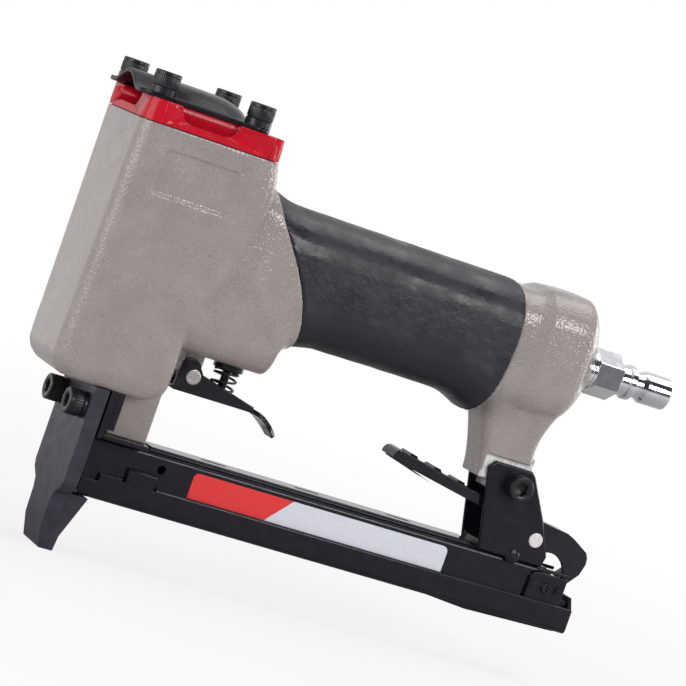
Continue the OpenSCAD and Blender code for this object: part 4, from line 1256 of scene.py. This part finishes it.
@dataclass
class NoseGroup:
    """Front plate, the sheets and block behind it, the foot on the rail and the nose screws."""

    screw: SocketScrew = field(default_factory=SocketScrew)
    spins: tuple[float, ...] = (0.35, 0.9)

    def build(self) -> None:
        """Builds and dresses the nose, its screws' heads to the front."""
        # The nose plate's lighter black is painted sheen.
        mount_edged("nose_plate", 0.35 * MM, Body.ROOT, NOSE_PAINTED_SHEEN_BLACK)
        for node, width in (("nose_back_sheet", 0.15), ("nose_block", 0.2), ("magazine_foot", 0.25)):
            mount_edged(node, width * MM, Body.ROOT, BLACK)
        dress_nodes(SCREW_BLACK, "nose_lock_washers")
        low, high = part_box("nose_screws")
        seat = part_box("nose_lock_washers")[0].x
        inset = self.screw.head_d / 2
        facing = Matrix.Rotation(-math.pi / 2, 4, "Y")
        places = [
            Matrix.Translation((seat, y, (low.z + high.z) / 2)) @ facing @ Matrix.Rotation(spin, 4, "Z")
            for y, spin in zip((low.y + inset, high.y - inset), self.spins)
        ]
        self.screw.mount_set("nose_screw_pair", "nose_screws", high.x - seat, places)


@dataclass
class TriggerValve:
    """Trigger, its pin, the valve's bush and stem, and the return spring round the stem."""

    spring: CoilSpring = CoilSpring(
        "trigger_spring", "trigger_return_spring", "trigger_pull", 2, 0.4 * MM, 4.0, dead=0.8, keep=0.735
    )

    def build(self) -> None:
        """Builds and dresses the trigger group."""
        mount_edged("trigger", 0.35 * MM, Body.TRIGGER, GLOSS_BLACK, segments=3)
        mount_edged("trigger_pin", 0.35 * MM, Body.ROOT, STEEL)
        mount_edged("valve_bush", 0.2 * MM, Body.ROOT, BLACK)
        dress_nodes(BLACK, "valve_stem")
        dress_nodes(SEAL, "valve_seal")
        self.spring.build(Body.ROOT, DARK_WIRE)


@dataclass
class Magazine:
    """Fixed rail with its colour strip, and the sliding channel with what it carries."""

    strip_t: float = 0.12 * MM
    strip_sunk: float = 0.03 * MM
    strip_from: float = 39.5 * MM
    strip_to: float = 133.0 * MM
    strip_low: float = 26.6 * MM
    strip_high: float = 36.5 * MM
    split_low: float = 66.0 * MM
    split_high: float = 75.2 * MM
    corner: float = 1.9 * MM
    corner_steps: int = 6
    # Band below the rail's top, and how upward the faces there must face, for the painted sheen.
    sheen_band_h: float = 0.6 * MM
    sheen_facing: float = 0.9
    spring: CoilSpring = CoilSpring(
        "pusher_spring",
        "pusher_coil_spring",
        "pusher_slide",
        0,
        0.4 * MM,
        turns=30.0,
        dead=1.0,
        keep=0.355,
        per_turn=20,
        sides=8,
    )

    def build(self) -> None:
        """Builds and dresses the magazine."""
        rail = mount_edged("fixed_rail", 0.4 * MM, Body.ROOT, (BLACK, RAIL_PAINTED_SHEEN_BLACK), segments=3)
        # The rail's top faces get the lighter black, a painted sheen.
        self.paint_top_sheen(rail.data)
        mount_edged("magazine_channel", 0.25 * MM, Body.MAGAZINE, BLACK, rim=0.85 * MM)
        mount_edged("end_block", 0.4 * MM, Body.MAGAZINE, BLACK, segments=3)
        mount_edged("staple_core", 0.15 * MM, Body.MAGAZINE, STEEL)
        mount_edged("pusher", 0.15 * MM, Body.PUSHER, STEEL)
        dress_nodes(BLACK, "rail_studs", "end_rivets")
        dress_nodes(SCREW_BLACK, "end_screws")
        dress_nodes(STEEL, "pusher_rod")
        self.strip()
        self.spring.build(Body.MAGAZINE, SPRING_WIRE)

    def paint_top_sheen(self, mesh: bpy.types.Mesh) -> None:
        """Gives the rail's top faces the lighter black: a painted sheen that stands in for the bright
        reflection along the top.

        Args:
            mesh: The rail's mesh.
        """
        top = max(corner.co.z for corner in mesh.vertices) - self.sheen_band_h
        for face in mesh.polygons:
            if face.normal.z > self.sheen_facing and face.center.z > top:
                face.material_index = 1

    def strip(self) -> None:
        """Lays the plain two-colour film strip on the left side of the rail."""
        low, high = (self.split_low, self.strip_low), (self.split_high, self.strip_high)
        red = [(self.strip_from, self.strip_low), low, high, *self.rounded(self.strip_from, 1)]
        pale = [low, (self.strip_to, self.strip_low), *self.rounded(self.strip_to, -1), high]
        for name, outline, finish in (("red", red, FILM_RED), ("pale", pale, FILM_PALE)):
            mount(new_piece("rail_strip_" + name, self.film(outline)), Body.ROOT, finish)

    def rounded(self, x: float, inward: int) -> list[Span]:
        """Upper corner of the strip at one end.

        Args:
            x: Place of the end.
            inward: 1 at the front end, -1 at the rear end.

        Returns:
            Points of the corner, anticlockwise round the strip.
        """
        turns = [math.pi / 2 * k / self.corner_steps for k in range(self.corner_steps + 1)]
        r, high = self.corner, self.strip_high
        arc = [(x + inward * r * (1 - math.cos(a)), high - r * (1 - math.sin(a))) for a in turns]
        return arc[::-1] if inward > 0 else arc

    def film(self, outline: list[Span]) -> bpy.types.Mesh:
        """Thin closed sheet of film on the rail's left side.

        Args:
            outline: Its outline in X and Z, anticlockwise seen from that side.

        Returns:
            The mesh.
        """
        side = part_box("fixed_rail")[0].y
        bm = bmesh.new()
        front = [bm.verts.new((x, side - self.strip_t, z)) for x, z in outline]
        back = [bm.verts.new((x, side + self.strip_sunk, z)) for x, z in outline]
        bm.faces.new(front)
        bm.faces.new(back[::-1])
        for k in range(len(outline)):
            bm.faces.new((front[k], front[k - 1], back[k - 1], back[k]))
        bmesh.ops.recalc_face_normals(bm, faces=bm.faces)
        return mesh_of(bm)


@dataclass
class RearLatch:
    """Bracket on the leg, its screw and nut, and the sprung latch lever."""

    screw: SocketScrew = field(default_factory=SocketScrew)
    screw_spin: float = 0.2
    spring_wire: float = 0.4 * MM
    spring_gap: float = 0.3 * MM
    spring_pitch: float = 1.9 * MM
    spring_start: float = math.radians(90)
    spring_end: float = math.radians(255 + 720)
    spring_points: int = 80
    upper_arm: float = 8.4 * MM
    lower_arm: float = 6.3 * MM
    arm_root: float = 0.3 * MM
    arm_points: int = 6

    def build(self) -> None:
        """Builds and dresses the bracket and the latch."""
        mount_edged("magazine_bracket", 0.7 * MM, Body.ROOT, BLACK, segments=3)
        mount_edged("bracket_nut", 0.3 * MM, Body.ROOT, SCREW_BLACK)
        mount_edged("latch_lever", 0.4 * MM, Body.LATCH, GLOSS_BLACK, segments=3)
        mount_edged("latch_pin", 0.3 * MM, Body.ROOT, PIN_STEEL)
        self.spring()
        self.bolt()

    def spring(self) -> None:
        """Winds the latch's spring round its pin, one arm under the lever and one on the bracket."""
        low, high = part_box("latch_pin")
        radius = (high.z - low.z) / 2 + self.spring_gap + self.spring_wire
        angle = np.linspace(self.spring_start, self.spring_end, self.spring_points)
        width = self.spring_pitch * (self.spring_end - self.spring_start) / (2 * math.pi)
        across = np.linspace(-0.5, 0.5, len(angle)) * width
        turns = np.stack([radius * np.cos(angle), across, radius * np.sin(angle)], axis=1)
        first = np.array((math.sin(angle[0]), 0.0, -math.cos(angle[0])))
        last = np.array((-math.sin(angle[-1]), 0.0, math.cos(angle[-1])))
        upper = turns[0] + np.linspace(self.upper_arm, self.arm_root, self.arm_points)[:, None] * first
        lower = turns[-1] + np.linspace(self.arm_root, self.lower_arm, self.arm_points)[:, None] * last
        path = np.concatenate([upper, turns, lower]) + np.array((low + high) / 2)
        piece = new_piece("latch_torsion_spring", tube(path, self.spring_wire))
        mount(piece, Body.ROOT, DARK_WIRE, ("latch_spring",))

    def bolt(self) -> None:
        """Builds the bracket's screw, head to the left."""
        low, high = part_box("bracket_screw")
        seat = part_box("magazine_bracket")[0].y
        mid = (low + high) / 2
        place = Matrix.Translation((mid.x, seat, mid.z)) @ Matrix.Rotation(math.pi / 2, 4, "X")
        turned = place @ Matrix.Rotation(self.screw_spin, 4, "Z")
        self.screw.mount_set("bracket_bolt", "bracket_screw", high.y - seat, [turned])


@dataclass
class AirInlet:
    """Chromed air plug and its washer in the rear boss."""

    edge: float = 0.2 * MM

    def build(self) -> None:
        """Builds and dresses the plug."""
        for node in ("air_plug", "plug_washer"):
            mount_edged(node, self.edge, Body.ROOT, PLATING)


@dataclass
class InnerWorks:
    """Cylinder, piston, driver and head valve inside the casting."""

    steel: tuple[str, ...] = ("cylinder_sleeve", "piston", "driver_blade", "driver_pin", "head_valve")
    rubber: tuple[str, ...] = ("cylinder_seal", "piston_bumper", "piston_ring", "head_valve_seal")
    spring: CoilSpring = CoilSpring(
        "head_valve_spring",
        "head_valve_coil_spring",
        "head_valve_lift",
        2,
        0.7 * MM,
        turns=4.0,
        dead=0.8,
        keep=0.82,
        per_turn=40,
        sides=12,
    )

    def build(self) -> None:
        """Dresses the inner pieces and winds the head valve's spring."""
        dress_nodes(STEEL, *self.steel)
        dress_nodes(SEAL, *self.rubber)
        self.spring.build(Body.ROOT, SPRING_WIRE)


# Stage


@dataclass
class SoftBox:
    """A square area lamp that looks at a point."""

    name: str
    place: Point
    power: float
    size: float
    aim: Point = (0.07, 0.0, 0.085)

    def build(self) -> None:
        """Hangs the lamp."""
        lamp = bpy.data.lights.new(self.name, "AREA")
        lamp.shape = "SQUARE"
        lamp.size = self.size
        lamp.energy = self.power
        holder = bpy.data.objects.new(self.name, lamp)
        holder.location = self.place
        ahead = Vector(self.aim) - Vector(self.place)
        holder.rotation_euler = ahead.to_track_quat("-Z", "Y").to_euler()
        bpy.context.scene.collection.objects.link(holder)


@dataclass
class Studio:
    """Pale floor, white surround, soft lamps and the camera."""

    ambient: float = 0.3
    ambient_tint: tuple[float, ...] = (1.0, 0.99, 0.985, 1.0)
    room_side: Point = (0.25, -0.95, 0.1)
    room_shades: tuple[tuple[float, Colour], ...] = (
        (0.1, (0.8, 0.8, 0.82)),
        (0.45, (0.045, 0.045, 0.055)),
    )
    floor_half: float = 6.0
    floor_grey: float = 0.74
    floor_middle: Point = (0.08, 0.0, 0.0)
    front_dim: tuple[Span, Span] = ((-0.9, -0.15), (0.2, 1.0))
    # Painted shadow: the floor's glow, as seen in gloss, dims close to the object.
    painted_shadow_dim: tuple[Span, Span] = ((0.1, 0.5), (0.25, 1.0))
    shadow_fade: tuple[Span, Span] = ((0.1, 0.6), (0.8, 1.0))
    lens: float = 178.78
    sensor: float = 36.0
    target: Point = (0.07597, 0.0, 0.08962)
    azimuth: float = math.radians(-23.434)
    elevation: float = math.radians(3.879)
    roll: float = math.radians(19.36)
    distance: float = 1.1008
    nearest: float = 0.05
    lamps: tuple[SoftBox, ...] = (
        SoftBox("key_box", (0.58, -1.05, 0.54), 6.0, 0.42),
        SoftBox("left_box", (-1.05, -0.35, 0.4), 8.0, 0.9),
        SoftBox("right_box", (1.12, -0.42, 0.27), 1.9, 0.24),
        SoftBox("rear_box", (1.1, 0.42, 0.12), 2.2, 0.55),
        SoftBox("top_box", (0.4, 0.0, 1.15), 5.0, 0.8),
    )

    def build(self) -> None:
        """Sets the stage."""
        self.camera()
        self.surround()
        self.floor()
        for lamp in self.lamps:
            lamp.build()
        bpy.context.scene.view_settings.view_transform = "Standard"

    def camera(self) -> None:
        """Sets the camera at the view of the picture, tilted as the picture is."""
        data = bpy.data.cameras.new("camera")
        data.lens = self.lens
        data.sensor_width = self.sensor
        data.clip_start = self.nearest
        level = math.cos(self.elevation)
        x, y, z = math.sin(self.azimuth) * level, -math.cos(self.azimuth) * level, math.sin(self.elevation)
        back = Vector((x, y, z))
        right = Vector((0, 0, 1)).cross(back).normalized()
        up = back.cross(right)
        turn_up = math.cos(self.roll) * up - math.sin(self.roll) * right
        turn_right = math.cos(self.roll) * right + math.sin(self.roll) * up
        place = Matrix((turn_right, turn_up, back)).transposed().to_4x4()
        place.translation = Vector(self.target) + self.distance * back
        camera = bpy.data.objects.new("camera", data)
        camera.matrix_world = place
        bpy.context.scene.collection.objects.link(camera)
        bpy.context.scene.camera = camera

    def surround(self) -> None:
        """White surround: seen as white, darker in gloss towards the front, softer as light."""
        world = bpy.data.worlds.new("surround")
        bpy.context.scene.world = world
        world.use_nodes = True
        world.node_tree.nodes.clear()
        tree = ShaderTree(world)
        rays = tree.add("LightPath").outputs
        wires = {0: tree.coordinates["Generated"], 1: self.room_side}
        toward = tree.add("VectorMath", wires, operation="DOT_PRODUCT").outputs["Value"]
        room = tree.ramp(toward, self.room_shades)
        light, gloss, white = (
            tree.add("Background", {"Color": colour, "Strength": strength}).outputs[0]
            for colour, strength in ((self.ambient_tint, self.ambient), (room, 1.0), (WHITE, 1.0))
        )
        shine = tree.calc("MAXIMUM", rays["Is Glossy Ray"], rays["Is Transmission Ray"])
        seen = tree.blend(rays["Is Camera Ray"], tree.blend(shine, light, gloss), white)
        tree.add("OutputWorld", {"Surface": seen})

    def floor(self) -> None:
        """Pale floor under the nose tip, seen as white but for the shadow, darker in gloss in front, and
        dimmed in gloss near the object as a painted shadow.
        """
        half, grey = self.floor_half, self.floor_grey
        corners = [(-half, -half, 0), (half, -half, 0), (half, half, 0), (-half, half, 0)]
        mesh = mesh_from(corners, [(0, 1, 2, 3)])
        ground = new_piece("floor", mesh)
        material = bpy.data.materials.new("pale_floor")
        mesh.materials.append(material)
        tree = ShaderTree(material)
        tree.coat({"Base Color": (grey, grey, grey, 1.0), "Roughness": 0.9, "Specular IOR Level": 0.0})
        rays = tree.add("LightPath").outputs
        wires = {0: tree.place, 1: self.floor_middle}
        away = tree.add("VectorMath", wires, operation="DISTANCE").outputs["Value"]
        ahead = tree.add("SeparateXYZ", {0: tree.place}).outputs["Y"]
        # The floor's glow in gloss is dimmed in front and, as a painted shadow, close to the object.
        front, near = tree.fit(ahead, *self.front_dim), tree.fit(away, *self.painted_shadow_dim)
        wires = {"Factor": rays["Is Glossy Ray"], "A": 1.0, "B": tree.calc("MULTIPLY", front, near)}
        strength = tree.add("Mix", wires).outputs["Result"]
        glow = tree.add("Emission", {"Color": WHITE, "Strength": strength}).outputs[0]
        seen = rays["Is Camera Ray"]
        for ray in ("Is Glossy Ray", "Is Transmission Ray"):
            seen = tree.calc("MAXIMUM", seen, rays[ray])
        share = tree.calc("MULTIPLY", seen, tree.fit(away, *self.shadow_fade))
        paint = tree.tree.nodes["Principled BSDF"].outputs[0]
        tree.wire(tree.tree.nodes["Material Output"], {"Surface": tree.blend(share, paint, glow)})


def main() -> None:
    """Loads the frame and builds every sub-assembly and the stage."""
    logging.basicConfig(level=logging.INFO, format="%(name)s %(message)s")
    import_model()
    Studio().build()
    CastBody().build()
    RubberGrip().build()
    CapStack().build()
    NoseGroup().build()
    TriggerValve().build()
    Magazine().build()
    RearLatch().build()
    AirInlet().build()
    InnerWorks().build()


if __name__ == "__main__":
    main()
